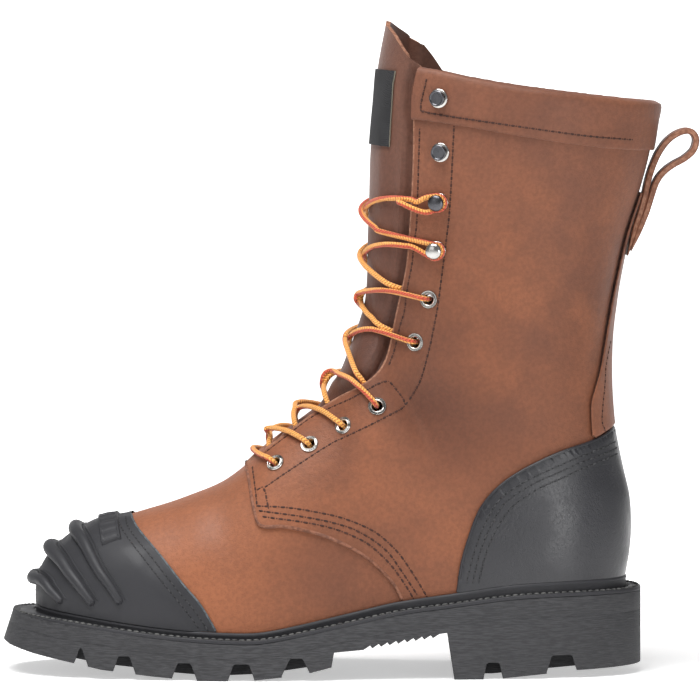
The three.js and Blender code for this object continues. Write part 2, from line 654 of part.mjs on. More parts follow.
function lugGaps() {
  // Slots between the side lugs, and between the two channels along the middle
  const cuts = [];
  for (const gap of LUG_GAPS) {
    const [back, front] = [soleX(gap.from), soleX(gap.to)];
    const roof = groundLevel((gap.from + gap.to) / 2) + LUG_DEPTH;
    const outline = [
      corner(front - 1, -10), corner(front, roof - LUG_DEPTH), corner(front + gap.slant, roof),
      corner(back - gap.slant, roof), corner(back, roof - LUG_DEPTH), corner(back + 1, -10),
    ];
    const middle = ridge((back + front) / 2);
    const halfWidth = SIDE_MARGIN + BALL_WIDTH * footLateral((gap.from + gap.to) / 2);
    const reach = Math.min(LUG_REACH, halfWidth * 0.6);
    cuts.push(sidePrism(outline, -FAR, middle - halfWidth + reach));
    cuts.push(sidePrism(outline, middle + halfWidth - reach, FAR));
  }
  const channelLine = BALL_GROUND.filter((row) => row.along > 0.5 && row.along < 0.9);
  const channelOffset = BALL_WIDTH / 2 + SIDE_MARGIN - LUG_REACH - CHANNEL_WIDTH / 2;
  for (const sign of [-1, 1]) {
    const outline = [
      ...channelLine.map((row) => corner(soleX(row.along), row.level * HEEL_HEIGHT + LUG_DEPTH * 0.8)),
      corner(soleX(channelLine.at(-1).along), -20), corner(soleX(channelLine[0].along), -20),
    ];
    const centre = ridge(soleX(0.69)) + sign * channelOffset;
    cuts.push(sidePrism(outline, centre - CHANNEL_WIDTH / 2, centre + CHANNEL_WIDTH / 2));
  }
  for (const along of CENTRE_GAPS) {
    const roof = groundLevel(along) + LUG_DEPTH * 0.7;
    const half = CHANNEL_WIDTH * 0.45;
    const x = soleX(along);
    const slot = [
      corner(x - half, -20), corner(x + half, -20), corner(x + half, roof), corner(x - half, roof),
    ];
    cuts.push(sidePrism(slot, ridge(x) - channelOffset, ridge(x) + channelOffset));
  }
  return cuts;
}

function makeOutsole() {
  let outsole = soleBlock.intersect(levelBand(deep, (x) => junction(x) - CLEARANCE / 2));
  outsole = outsole.subtract(sidePrism(groundOutline()));
  for (const cut of lugGaps()) outsole = outsole.subtract(cut);
  return outsole;
}

const makeMidsole = () => soleBlock.intersect(
  levelBand((x) => junction(x) + CLEARANCE / 2, (x) => seat(x)),
);

// The outside of the leather, grown by an offset: the quarter stands a step above the vamp
const skin = (offset) => form(offset).add(form(offset + QUARTER_STEP).intersect(quarterZone));

function makeWelt() {
  // A flat strip on the midsole and a bead that hugs the upper
  const strip = soleBlock.intersect(levelBand((x) => seat(x) + CLEARANCE, soleTop));
  const bead = skin(CLEARANCE + BEAD_WIDTH).intersect(levelBand((x) => seat(x) + CLEARANCE, beadTop));
  return strip.add(bead).subtract(skin(CLEARANCE));
}

const makeInsole = () => form(-VAMP_WALL - CLEARANCE).intersect(
  levelBand((x) => seat(x) + CLEARANCE, (x) => seat(x) + CLEARANCE + INSOLE_THICKNESS),
);

// Placed hardware: both sides of the boot, lateral first
const sides = [["lateral", true], ["medial", false]];

function geometryOf(solid) {
  const data = solid.getMesh();
  const geometry = new THREE.BufferGeometry();
  geometry.setAttribute("position", new THREE.BufferAttribute(new Float32Array(data.vertProperties), 3));
  geometry.setIndex(new THREE.BufferAttribute(new Uint32Array(data.triVerts), 1));
  geometry.computeVertexNormals();
  return geometry;
}

const facetedForm = new THREE.Mesh(geometryOf(form(0)));

function seated(at, lateral) {
  // Where the faceted leather lies under a place in the side view, the outward direction there,
  // and the way that its facet faces
  const point = surfacePoint(at.x, at.y, lateral);
  const normal = surfaceNormal(point, lateral);
  const start = point.clone().addScaledVector(normal, SEAT_REACH);
  const hits = new THREE.Raycaster(start, normal.clone().negate(), 0, 2 * SEAT_REACH)
    .intersectObject(facetedForm);
  if (hits.length === 0) return { point, normal, facing: normal };
  return { point: hits[0].point, normal, facing: hits[0].face.normal.clone() };
}

function placeOn(geometry, place, lateral, offset) {
  // Stands a lathed shape on the leather, its axis along the outward direction
  const { point, facing } = seated(side(place), lateral);
  const turn = new THREE.Quaternion().setFromUnitVectors(new THREE.Vector3(0, 1, 0), facing);
  const placed = geometry.clone().applyQuaternion(turn);
  const at = point.addScaledVector(facing, offset);
  return placed.translate(at.x, at.y, at.z);
}

const profile = (rows) => rows.map(([radius, height]) => new THREE.Vector2(radius, height));

function makeUpper() {
  let upper = skin(0).subtract(form(-VAMP_WALL));
  upper = upper.subtract(throatZone).subtract(aboveCollar);
  upper = upper.subtract(levelBand(deep, (x) => seat(x) + CLEARANCE));
  const punch = new THREE.CylinderGeometry(
    EYELET_BARREL_RADIUS + CLEARANCE, EYELET_BARREL_RADIUS + CLEARANCE, 14, ROUND_SIDES,
  );
  for (const place of EYELETS) {
    for (const [, lateral] of sides) upper = upper.subtract(solidFrom(placeOn(punch, place, lateral, 0)));
  }
  return upper;
}

function sheetSolid(rows) {
  // A thick sheet from rows of {outer, inner} point pairs
  const outer = (row) => row.map((pair) => pair.outer);
  const inner = (row) => row.map((pair) => pair.inner).reverse();
  return gridSolid(rows.map((row) => [...outer(row), ...inner(row)]));
}

// Tongue: it lies under the facings, and swells forward between them
const TONGUE_GIRTHS = { rootAlong: 0.672, topUp: 1.13, rows: 19, columns: 7 };
const LABEL_GIRTHS = { low: 0.865, high: 1.0, rows: 3, columns: 4, reach: 0.6 };
const facingAt = (girth) => {
  // Share of a line of sight that lies in front of the facing edge
  const ends = girthEnds(girth);
  const line = ends.end.clone().sub(ends.front);
  let share = 0;
  for (let i = 0; i + 1 < facingEdge.length; i += 1) {
    const [a, b] = [facingEdge[i], facingEdge[i + 1]];
    const edge = b.clone().sub(a);
    const cross = line.x * edge.y - line.y * edge.x;
    const start = a.clone().sub(ends.front);
    const t = (start.x * edge.y - start.y * edge.x) / cross;
    const u = (start.x * line.y - start.y * line.x) / cross;
    if (u >= 0 && u <= 1 && t > 0 && t < 0.5) share = share > 0 ? Math.min(share, t) : t;
  }
  return share;
};

function distanceToFacing(at) {
  let nearest = FAR;
  for (let i = 0; i + 1 < facingEdge.length; i += 1) {
    const edge = facingEdge[i + 1].clone().sub(facingEdge[i]);
    const along = THREE.MathUtils.clamp(at.clone().sub(facingEdge[i]).dot(edge) / edge.lengthSq(), 0, 1);
    nearest = Math.min(nearest, facingEdge[i].clone().addScaledVector(edge, along).distanceTo(at));
  }
  return nearest;
}

function positionAt(value, k) {
  // Place in the table, between rows, where the front end has this along (k = 0) or up (k = 1)
  const at = (n) => GIRTHS[n].front[k];
  const i = GIRTHS.findIndex((row, n) => n > 0 && at(n - 1) !== at(n)
    && (at(n - 1) - value) * (at(n) - value) <= 0);
  const [a, b] = [GIRTHS[i - 1].front[k], GIRTHS[i].front[k]];
  return i - 1 + (value - a) / (b - a);
}

function girthBetween(position) {
  // A line of sight between two rows of the table
  const i = Math.min(Math.floor(position), GIRTHS.length - 2);
  const t = position - i;
  const mix = (key) => GIRTHS[i][key].map((value, k) => value * (1 - t) + GIRTHS[i + 1][key][k] * t);
  return { front: mix("front"), end: mix("end"), back: GIRTHS[i].back && GIRTHS[i + 1].back };
}

function tonguePoint(girth, across, lift) {
  // Across runs from -1 at the lateral edge of the tongue to 1 at its medial edge
  const ends = girthEnds(girth);
  const length = ends.front.distanceTo(ends.end);
  const open = facingAt(girth);
  const reach = open + TONGUE_TUCK / length;
  const at = ends.front.clone().lerp(ends.end, reach * across * across);
  const clear = reach * across * across < open ? distanceToFacing(at) : 0;
  const swell = TONGUE_BULGE + VAMP_WALL + TONGUE_CLEARANCE;
  const bulge = swell * THREE.MathUtils.smoothstep(clear, 2.2, 6);
  return liftedPoint(at.x, at.y, across < 0, lift + bulge - VAMP_WALL - TONGUE_CLEARANCE);
}

function tongueSheet(from, to, rowCount, reach, low, high, columns) {
  const rows = [];
  for (let i = 0; i <= rowCount; i += 1) {
    const girth = girthBetween(from + ((to - from) * i) / rowCount);
    const row = [];
    for (let j = -columns; j <= columns; j += 1) {
      const across = (reach * j) / columns;
      row.push({ outer: tonguePoint(girth, across, high), inner: tonguePoint(girth, across, low) });
    }
    rows.push(row);
  }
  return sheetSolid(rows);
}

function makeTongue() {
  const { rootAlong, topUp, rows, columns } = TONGUE_GIRTHS;
  const [root, tip] = [positionAt(rootAlong, 0), positionAt(topUp, 1)];
  const sheet = tongueSheet(root, tip, rows, 1, -TONGUE_THICKNESS, 0, columns);
  const top = sidePrism([
    ...TONGUE_TOP.map(side), corner(FAR, sideZ(0.9)), corner(FAR, FAR), corner(-FAR, FAR),
  ]);
  const underFacing = form(FACING_REACH).subtract(form(-VAMP_WALL - CLEARANCE))
    .subtract(throatZone.translate([-CLEARANCE, 0, CLEARANCE]));
  return sheet.subtract(underFacing).subtract(top);
}

function makeTongueLabel() {
  const { low, high, rows, columns, reach } = LABEL_GIRTHS;
  const top = LABEL_LIFT + LABEL_THICKNESS;
  return tongueSheet(positionAt(low, 1), positionAt(high, 1), rows, reach, LABEL_LIFT, top, columns);
}

// Toe bumper with three ribs and a plain badge pad
function ribBand(rib, widthShare) {
  // The strip that a rib covers in the side view, wide over the toe and narrow at its ends
  const [apex, middle, end] = [rib.apex, rib.middle, rib.end].map(side);
  const beyond = apex.clone().addScaledVector(apex.clone().sub(middle).normalize(), TOE_RIB_RUN_OUT);
  const curve = new THREE.SplineCurve([beyond, apex, middle, end]);
  const steps = 6;
  const above = [];
  const below = [];
  for (let i = 0; i <= steps; i += 1) {
    const at = curve.getPoint(i / steps);
    const along = curve.getTangent(i / steps);
    const half = (TOE_RIB_WIDTH * rib.width * widthShare * (1 - TOE_RIB_TAPER * (i / steps))) / 2;
    above.push(corner(at.x - along.y * half, at.y + along.x * half));
    below.push(corner(at.x + along.y * half, at.y - along.x * half));
  }
  return sidePrism([...above, ...below.reverse()]);
}

function makeToeCap() {
  const outer = CLEARANCE + TOE_CAP_THICKNESS;
  let cap = form(outer);
  const badge = form(outer + BADGE_HEIGHT).intersect(sidePrism(BADGE.map(side)));
  cap = cap.add(badge);
  for (const rib of TOE_RIBS) {
    for (const { width, height } of RIB_STEPS) {
      cap = cap.add(form(outer + TOE_RIB_HEIGHT * height).intersect(ribBand(rib, width)));
    }
  }
  cap = cap.subtract(form(CLEARANCE)).intersect(toeCapZone);
  return cap.intersect(levelBand((x) => beadTop(x) + CLEARANCE, tall));
}

const makeCounter = () => shell(QUARTER_STEP + CLEARANCE + COUNTER_THICKNESS, QUARTER_STEP + CLEARANCE)
  .intersect(counterZone)
  .intersect(levelBand((x) => beadTop(x) + CLEARANCE, tall));

const makeCollarBand = () => shell(QUARTER_STEP + CLEARANCE + COLLAR_BAND_THICKNESS, QUARTER_STEP + CLEARANCE)
  .intersect(bandZone).subtract(throatZone);

function makeBackstay() {
  // A strip up the back seam, from the heel counter to the pull loop
  const halfWidth = BACKSTAY_WIDTH / 2;
  const strip = sidePrism([
    corner(sideX(0.13), sideZ(0.426)), corner(FAR, sideZ(0.426)),
    corner(FAR, sideZ(0.79)), corner(sideX(0.13), sideZ(0.79)),
  ], -halfWidth, halfWidth);
  return shell(QUARTER_STEP + CLEARANCE + BACKSTAY_THICKNESS, QUARTER_STEP + CLEARANCE).intersect(strip);
}

function makePullLoop() {
  const outer = smooth(LOOP_OUTER.map(side), 1);
  const inner = smooth([...LOOP_INNER, LOOP_INNER[0]].map(side), 1).slice(0, -1);
  const loop = sidePrism(outer, -LOOP_WIDTH / 2, LOOP_WIDTH / 2)
    .subtract(sidePrism(inner, -FAR, FAR));
  const underBand = form(QUARTER_STEP + CLEARANCE + COLLAR_BAND_THICKNESS + CLEARANCE)
    .intersect(bandZone.translate([0, 0, -CLEARANCE]));
  return loop.subtract(form(QUARTER_STEP + CLEARANCE)).subtract(underBand);
}

const eyeletShape = new THREE.LatheGeometry(profile([
  [EYELET_HOLE_RADIUS, -VAMP_WALL - QUARTER_STEP], [EYELET_HOLE_RADIUS, 1.1], [EYELET_RADIUS, CLEARANCE],
  [EYELET_BARREL_RADIUS, CLEARANCE], [EYELET_BARREL_RADIUS, -VAMP_WALL - QUARTER_STEP],
  [EYELET_HOLE_RADIUS, -VAMP_WALL - QUARTER_STEP],
]), ROUND_SIDES);

const hookShape = new THREE.LatheGeometry(profile([
  [0, CLEARANCE], [HOOK_BASE_RADIUS, CLEARANCE], [HOOK_BASE_RADIUS * 0.9, 1.3], [HOOK_NECK_RADIUS, 1.7],
  [HOOK_NECK_RADIUS, HOOK_HEIGHT - 2], [HOOK_HEAD_RADIUS, HOOK_HEIGHT - 1.5],
  [HOOK_HEAD_RADIUS * 0.8, HOOK_HEIGHT - 0.4], [0, HOOK_HEIGHT],
]), ROUND_SIDES);

// Laces: each strand comes out from under one facing and ends at the next place of the other side
const lacePlaces = [...EYELETS, HOOKS[0].place, HOOKS[1].place].map(side);
const laceCrowns = LACE_CROWNS.map((place) => {
  const inside = side([place[0] - 0.12, place[1] - 0.05]);
  return crossing(inside, side(place).add(corner(-14, 8)));
});

function strandPoint(level, turn, lift, flip) {
  // Turn -1 is the side that the strand starts from, 0 the ridge and 1 the side that it ends at
  const low = Math.min(Math.floor(level), lacePlaces.length - 1);
  const high = Math.min(low + 1, lacePlaces.length - 1);
  const share = level - low;
  const place = lacePlaces[low].clone().lerp(lacePlaces[high], share);
  const crown = laceCrowns[low].clone().lerp(laceCrowns[high], share);
  const at = crown.lerp(place, turn * turn);
  const { point, normal } = seated(at, flip ? turn > 0 : turn < 0);
  return point.addScaledVector(normal, lift);
}

const STRAND = [
  { turn: -0.5, lift: 5.2 }, { turn: -0.25, lift: 6.4 }, { turn: 0, lift: 6.9 }, { turn: 0.25, lift: 6.6 },
  { turn: 0.5, lift: 5.6 }, { turn: 0.75, lift: 5.0 }, { turn: 1, lift: HOOK_LACE_LIFT },
];

function strandTube(points) {
  const curve = new THREE.CatmullRomCurve3(points);
  const circle = new THREE.Shape();
  for (let i = 0; i < LACE_SIDES; i += 1) {
    const angle = (2 * Math.PI * i) / LACE_SIDES;
    const place = [LACE_RADIUS * Math.cos(angle), LACE_RADIUS * Math.sin(angle)];
    if (i === 0) circle.moveTo(...place);
    else circle.lineTo(...place);
  }
  circle.closePath();
  const steps = points.length - 1;
  return solidFrom(new THREE.ExtrudeGeometry(circle, { extrudePath: curve, steps, bevelEnabled: false }));
}

function makeCrossing(level) {
  // Two strands that cross on the ridge, from one pair of places to the next pair up
  const strands = [false, true].map((flip) => {
    const toHook = level + 1 >= EYELETS.length;
    const fromHook = level >= EYELETS.length;
    const points = STRAND.map(({ turn, lift }) => {
      const climb = level + (turn + 1) / 2;
      const shifted = toHook && turn === 1 ? climb - HOOK_TURN_SHARE : climb;
      return strandPoint(Math.min(shifted, lacePlaces.length - 1), turn, lift, flip);
    });
    if (fromHook) points.unshift(strandPoint(level + HOOK_TURN_SHARE, -1, HOOK_LACE_LIFT, flip));
    return strandTube(points);
  });
  return strands[0].add(strands[1]);
}

const makeBottomBar = () => strandTube([-1, -0.7, -0.35, 0, 0.35, 0.7, 1].map(
  (turn) => strandPoint(0, turn, BAR_END_LIFT + BAR_RISE * (1 - turn * turn), false),
));

// Finishes from the photograph
function finish(color, roughness, metalness = 0) {
  return new THREE.MeshStandardMaterial({ color, roughness, metalness });
}

const brownLeather = finish(0x8a4a2b, 0.75);
const blackLeather = finish(0x25282b, 0.5);
const blackRubber = finish(0x222426, 0.6);
const soleRubber = finish(0x35383a, 0.8);
const insoleFoam = finish(0x6b5b4a, 0.9);
const gunmetal = finish(0x5c5e60, 0.3, 1);
const laceFibre = finish(0xe07b28, 0.8);
const labelWeave = finish(0x17181a, 0.8);

const boot = new THREE.Group();

function addPiece(name, solid, material) {
  const mesh = new THREE.Mesh(geometryOf(solid.simplify(FACET_TOLERANCE)), material);
  mesh.name = name;
  boot.add(mesh);
}

addPiece("outsole", makeOutsole(), soleRubber);
addPiece("midsole", makeMidsole(), soleRubber);
addPiece("welt", makeWelt(), blackRubber);
addPiece("insole", makeInsole(), insoleFoam);
addPiece("upper", makeUpper(), brownLeather);
addPiece("tongue", makeTongue(), brownLeather);
addPiece("tongue_label", makeTongueLabel(), labelWeave);
addPiece("toe_cap", makeToeCap(), blackRubber);
addPiece("heel_counter", makeCounter(), blackLeather);
addPiece("collar_band", makeCollarBand(), brownLeather);
addPiece("backstay", makeBackstay(), brownLeather);
addPiece("pull_loop", makePullLoop(), brownLeather);
for (const [name, lateral] of sides) {
  EYELETS.forEach((place, i) => {
    const eyelet = placeOn(eyeletShape, place, lateral, QUARTER_STEP + CLEARANCE);
    addPiece(`eyelet_${name}_${i + 1}`, solidFrom(eyelet), gunmetal);
  });
  HOOKS.forEach(({ place, onBand }, i) => {
    const seatLift = QUARTER_STEP + (onBand ? COLLAR_BAND_THICKNESS + CLEARANCE : 0);
    addPiece(`hook_${name}_${i + 1}`, solidFrom(placeOn(hookShape, place, lateral, seatLift)), gunmetal);
  });
}
addPiece("lace_bar", makeBottomBar(), laceFibre);
for (let level = 0; level + 1 < lacePlaces.length; level += 1) {
  addPiece(`lace_crossing_${level + 1}`, makeCrossing(level), laceFibre);
}

export default boot;
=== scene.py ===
"""Looks of a left lace-up work boot with a rubber toe bumper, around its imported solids."""
import math

import bmesh
import bpy
import numpy as np
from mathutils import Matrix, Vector


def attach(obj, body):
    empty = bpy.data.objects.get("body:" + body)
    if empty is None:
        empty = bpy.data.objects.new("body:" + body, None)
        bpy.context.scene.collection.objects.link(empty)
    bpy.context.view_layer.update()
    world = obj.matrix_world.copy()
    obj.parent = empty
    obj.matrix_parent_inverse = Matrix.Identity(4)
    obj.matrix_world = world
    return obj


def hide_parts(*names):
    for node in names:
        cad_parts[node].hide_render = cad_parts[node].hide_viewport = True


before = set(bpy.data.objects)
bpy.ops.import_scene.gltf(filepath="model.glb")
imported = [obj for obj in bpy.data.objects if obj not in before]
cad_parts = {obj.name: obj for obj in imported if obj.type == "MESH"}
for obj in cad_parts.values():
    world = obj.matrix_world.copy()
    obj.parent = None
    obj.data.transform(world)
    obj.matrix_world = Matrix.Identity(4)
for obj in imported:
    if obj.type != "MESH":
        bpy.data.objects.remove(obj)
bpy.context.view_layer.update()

# Lengths in millimetres, as in the solids: toe towards -X, lateral side towards -Y
MM = 0.001
UPPER_LENGTH, UPPER_BACK, COLLAR_HEIGHT = 283.4, 77.1, 291.0
BALL_WIDTH, COLLAR_WIDTH = 100.0, 96.0
TOE_ROUND_LENGTH, TOE_CROWN_LENGTH, TOE_SQUARENESS = 58.0, 34.0, 2.3
SHAFT_SQUARENESS, INSTEP_BLEND, BLEND_SETBACK = 2.3, 600.0, 39.0
FOOT_REAR, FOOT_REAR_ROUND = 0.08, 60.0
VAMP_WALL, QUARTER_STEP, CLEARANCE = 2.0, 1.2, 0.3
SOLE_LENGTH, SOLE_BACK, HEEL_HEIGHT = 309.5, 84.6, 41.5
SIDE_MARGIN, TOE_MARGIN, HEEL_MARGIN = 7.5, 15.7, 11.3
TOE_FLARE, TOE_SOLE_MIDDLE, TOE_SOLE_THICKNESS, FLARE_REACH = 5.8, 23.0, 18.0, 30.0
WELT_THICKNESS, MIDSOLE_THICKNESS, HEEL_THICKENING = 2.0, 7.2, 2.2
LUG_DEPTH, LUG_REACH, CHANNEL_WIDTH = 8.0, 30.0, 5.5
COUNTER_THICKNESS, BAND_THICKNESS, STRAP_THICKNESS = 1.7, 1.5, 1.8
LOOP_WIDTH, LOOP_HALF_THICKNESS = 18.0, 1.45
TONGUE_BULGE, TONGUE_CLEARANCE, TONGUE_TUCK = 1.8, 1.3, 11.0
EYELET_HOLE, EYELET_HOLE_MARGIN = 2.4, 0.7
LACE_RADIUS = 1.3
FAR = 400.0

# Foot sections from heel to toe: along, crown, lateral and medial half width, inward set
FOOT = (
    (-0.05, 0.45, 0.33, 0.33, 0), (0.133, 0.56, 0.345, 0.335, 0), (0.239, 0.6, 0.37, 0.35, 0),
    (0.344, 0.605, 0.4, 0.365, 0), (0.415, 0.595, 0.425, 0.385, 0.004),
    (0.444, 0.572, 0.44, 0.398, 0.007), (0.464, 0.533, 0.449, 0.406, 0.009),
    (0.485, 0.488, 0.46, 0.417, 0.012), (0.524, 0.449, 0.48, 0.437, 0.017),
    (0.563, 0.421, 0.497, 0.456, 0.022), (0.607, 0.386, 0.51, 0.472, 0.028),
    (0.64, 0.35, 0.515, 0.481, 0.033), (0.68, 0.319, 0.514, 0.487, 0.04),
    (0.719, 0.3, 0.508, 0.488, 0.047), (0.761, 0.284, 0.499, 0.484, 0.055),
    (0.821, 0.266, 0.484, 0.472, 0.064), (0.877, 0.25, 0.468, 0.458, 0.071),
    (0.926, 0.237, 0.456, 0.448, 0.077), (1, 0.222, 0.44, 0.436, 0.084),
)
# Leg sections from the heel seat up: height, front, back, half width
LEG = (
    (0, 0.32, 0.03, 0.33), (0.13, 0.34, 0.02, 0.349), (0.162, 0.35, 0.015, 0.357),
    (0.2, 0.36, 0.008, 0.362), (0.241, 0.37, 0.005, 0.363), (0.289, 0.38, 0.008, 0.36),
    (0.33, 0.388, 0.018, 0.365), (0.368, 0.395, 0.027, 0.378), (0.405, 0.4, 0.034, 0.395),
    (0.48, 0.41, 0.04, 0.415), (0.55, 0.418, 0.039, 0.422), (0.608, 0.427, 0.032, 0.427),
    (0.68, 0.432, 0.017, 0.436), (0.736, 0.433, 0.003, 0.447), (0.793, 0.432, -0.016, 0.463),
    (0.846, 0.431, -0.031, 0.48), (0.89, 0.428, -0.04, 0.492), (0.944, 0.423, -0.046, 0.5),
    (1, 0.418, -0.049, 0.505), (1.075, 0.404, -0.053, 0.507), (1.2, 0.38, -0.063, 0.51),
)
# Lines of sight across the form: front end, far end, and 1 where the far end is the back edge
GIRTHS = (
    (0.9995, 0.3, 0.9995, 0, 0), (0.994, 0.3, 0.994, 0, 0), (0.978, 0.3, 0.978, 0, 0),
    (0.945, 0.35, 0.945, 0, 0), (0.89, 0.35, 0.89, 0, 0), (0.84, 0.4, 0.84, 0, 0),
    (0.79, 0.4, 0.79, 0, 0), (0.735, 0.4, 0.735, 0, 0), (0.68, 0.4, 0.675, 0, 0),
    (0.64, 0.4, 0.615, 0, 0), (0.605, 0.41, 0.545, 0, 0), (0.57, 0.44, 0.475, 0, 0),
    (0.54, 0.46, 0.405, 0, 0), (0.515, 0.48, 0.335, 0, 0), (0.5, 0.505, 0.265, 0, 0),
    (0.485, 0.53, 0.195, 0, 0), (0.475, 0.55, 0.14, 0, 0), (0.468, 0.567, 0.095, 0, 0),
    (0.463, 0.58, 0.06, 0, 0), (0.46, 0.592, 0.036, 0, 0), (0.457, 0.602, 0.02, 0.07, 1),
    (0.452, 0.63, 0.01, 0.165, 1), (0.45, 0.645, 0.004, 0.21, 1), (0.449, 0.66, 0.004, 0.265, 1),
    (0.448, 0.675, 0.014, 0.33, 1), (0.447, 0.69, 0.03, 0.4, 1), (0.446, 0.71, 0.035, 0.47, 1),
    (0.445, 0.765, 0.03, 0.62, 1), (0.444, 0.8, 0.01, 0.7, 1), (0.444, 0.845, -0.01, 0.785, 1),
    (0.442, 0.895, -0.035, 0.86, 1), (0.438, 1.01, -0.05, 0.975, 1), (0.43, 1.14, -0.055, 1.1, 1),
)
FIRST_BACK_GIRTH = 20
TOE_GIRTHS_END = 8.6

# The sole: along its length from the heel, heights as shares of the heel height
SOLE_TOP = (
    (-0.05, 1.005), (0, 1), (0.191, 0.966), (0.31, 0.86), (0.382, 0.79), (0.456, 0.675),
    (0.569, 0.5), (0.61, 0.465), (0.7, 0.49), (0.766, 0.537), (0.876, 0.646), (0.934, 0.7),
    (1.03, 0.85),
)
HEEL_GROUND = ((-0.02, 0.116), (0.02, 0.109), (0.105, 0.09), (0.17, 0.045), (0.235, 0), (0.295, 0))
WAIST_GROUND = ((0.306, 0.54), (0.36, 0.48), (0.442, 0.38), (0.48, 0.325))
BALL_GROUND = (
    (0.484, 0.155), (0.516, 0.095), (0.56, 0.045), (0.602, 0.012), (0.64, 0), (0.69, 0),
    (0.76, 0.045), (0.84, 0.112), (0.877, 0.168), (0.945, 0.26), (0.985, 0.33), (1.01, 0.4),
)
LUG_GAPS = (
    (0.105, 0.152, 2.2), (0.22, 0.25, 1.4), (0.516, 0.56, 3.4), (0.602, 0.643, 2.4),
    (0.691, 0.73, 2.6), (0.786, 0.821, 2.4), (0.86, 0.882, 2.6),
)
CENTRE_GAPS = (0.54, 0.585, 0.665, 0.755, 0.84)
WAIST_TEETH = {"start": 0.318, "end": 0.438, "count": 9, "depth": 1.5}
BEAD_RISE = ((0, 5.6), (0.3, 4.6), (0.6, 3.2), (1, 3.0))
HEEL_BREAST = 0.305

# Outlines in the side view: along the upper's length from its back, up to the collar height
FACING_EDGE = (
    (0.647, 0.34), (0.628, 0.357), (0.588, 0.387), (0.555, 0.411), (0.521, 0.435), (0.485, 0.458),
    (0.454, 0.476), (0.434, 0.49), (0.418, 0.508), (0.404, 0.538), (0.389, 0.606), (0.374, 0.677),
    (0.367, 0.767), (0.363, 0.85), (0.362, 0.92), (0.36, 0.975), (0.353, 1.001), (0.335, 1.2),
)
QUARTER_EDGE = (
    (0.647, 0.345), (0.641, 0.322), (0.632, 0.274), (0.62, 0.25), (0.579, 0.249), (0.522, 0.237),
    (0.473, 0.217), (0.439, 0.196), (0.411, 0.17), (0.394, 0.149), (0.38, 0.12),
)
TOE_CAP_EDGE = (
    (0.856, 0.3), (0.849, 0.271), (0.834, 0.245), (0.792, 0.202), (0.753, 0.157), (0.721, 0.121),
    (0.69, 0.07),
)
COUNTER_EDGE = (
    (0.295, 0.1), (0.291, 0.143), (0.284, 0.19), (0.27, 0.237), (0.253, 0.278), (0.228, 0.309),
    (0.196, 0.334), (0.159, 0.354), (0.117, 0.372), (0.07, 0.386), (0.043, 0.398), (0.01, 0.418),
)
COLLAR_TOP = (
    (0.353, 1.002), (0.323, 0.997), (0.253, 0.982), (0.172, 0.969), (0.092, 0.959), (0, 0.949),
    (-0.09, 0.942),
)
COLLAR_BAND_LOW = (
    (0.37, 0.917), (0.295, 0.908), (0.181, 0.889), (0.078, 0.874), (0.01, 0.868), (-0.09, 0.863),
)
TONGUE_TOP = (
    (0.44, 1.084), (0.411, 1.074), (0.394, 1.056), (0.379, 1.031), (0.355, 0.997), (0.3, 0.92),
)
BADGE = ((0.888, 0.207), (0.854, 0.219), (0.869, 0.27), (0.903, 0.26))
TOE_RIBS = (
    ((0.938, 0.242), (0.934, 0.226), (0.922, 0.215), (0.913, 0.205), (0.904, 0.191), (0.89, 0.17),
     (0.875, 0.152), (0.863, 0.136), (0.854, 0.122)),
    ((0.985, 0.206), (0.972, 0.194), (0.961, 0.187), (0.951, 0.179), (0.939, 0.165), (0.925, 0.15),
     (0.912, 0.134), (0.899, 0.119)),
    ((1.012, 0.154), (0.994, 0.15), (0.985, 0.15), (0.977, 0.145), (0.969, 0.136), (0.96, 0.128),
     (0.952, 0.119)),
)
# Radius at the top of the toe, radius at the lower end and height of the crest
RIB_SIZES = ((3.5, 2.0, 4.4), (3.6, 2.1, 5.0), (3.2, 1.8, 5.0))
EYELETS = (
    (0.595, 0.349), (0.538, 0.38), (0.48, 0.412), (0.425, 0.445), (0.359, 0.551), (0.337, 0.622),
)
HOOKS = ((0.324, 0.702), (0.32, 0.781), (0.318, 0.863), (0.318, 0.951))
LACE_CROWNS = (
    (0.625, 0.355), (0.58, 0.395), (0.53, 0.435), (0.475, 0.5), (0.445, 0.57), (0.437, 0.64),
    (0.437, 0.715), (0.436, 0.79),
)


def side_x(along):
    return UPPER_BACK - np.asarray(along) * UPPER_LENGTH


def side_z(up):
    return np.asarray(up) * COLLAR_HEIGHT


def side(places):
    table = np.asarray(places, float)
    return np.stack([side_x(table[..., 0]), side_z(table[..., 1])], axis=-1)


def curve_of(rows, column=1):
    """A smooth function through one column of a table, straight beyond its ends."""
    keys = np.array([row[0] for row in rows], float)
    values = np.array([row[column] for row in rows], float)
    last = len(rows) - 1
    low = np.maximum(np.arange(last + 1) - 1, 0)
    high = np.minimum(np.arange(last + 1) + 1, last)
    slopes = (values[high] - values[low]) / (keys[high] - keys[low])

    def at(place):
        place = np.asarray(place, float)
        i = np.clip(np.searchsorted(keys, place, side="right") - 1, 0, last - 1)
        span = keys[i + 1] - keys[i]
        t = (place - keys[i]) / span
        ease = t * t * (3 - 2 * t)
        inside = values[i] * (1 - ease) + values[i + 1] * ease
        inside = inside + (t - 2 * t * t + t ** 3) * span * slopes[i]
        inside = inside + (t ** 3 - t * t) * span * slopes[i + 1]
        below = values[0] + slopes[0] * (place - keys[0])
        above = values[last] + slopes[last] * (place - keys[last])
        return np.where(place <= keys[0], below, np.where(place >= keys[last], above, inside))

    return at


foot_crown, foot_lateral, foot_medial, foot_inward = (curve_of(FOOT, k) for k in (1, 2, 3, 4))
leg_front, leg_back, leg_half = (curve_of(LEG, k) for k in (1, 2, 3))
sole_top_share = curve_of(SOLE_TOP)
bead_rise = curve_of(BEAD_RISE)


def sole_along(x):
    return (SOLE_BACK - np.asarray(x, float)) / SOLE_LENGTH


def sole_x(along):
    return SOLE_BACK - np.asarray(along) * SOLE_LENGTH


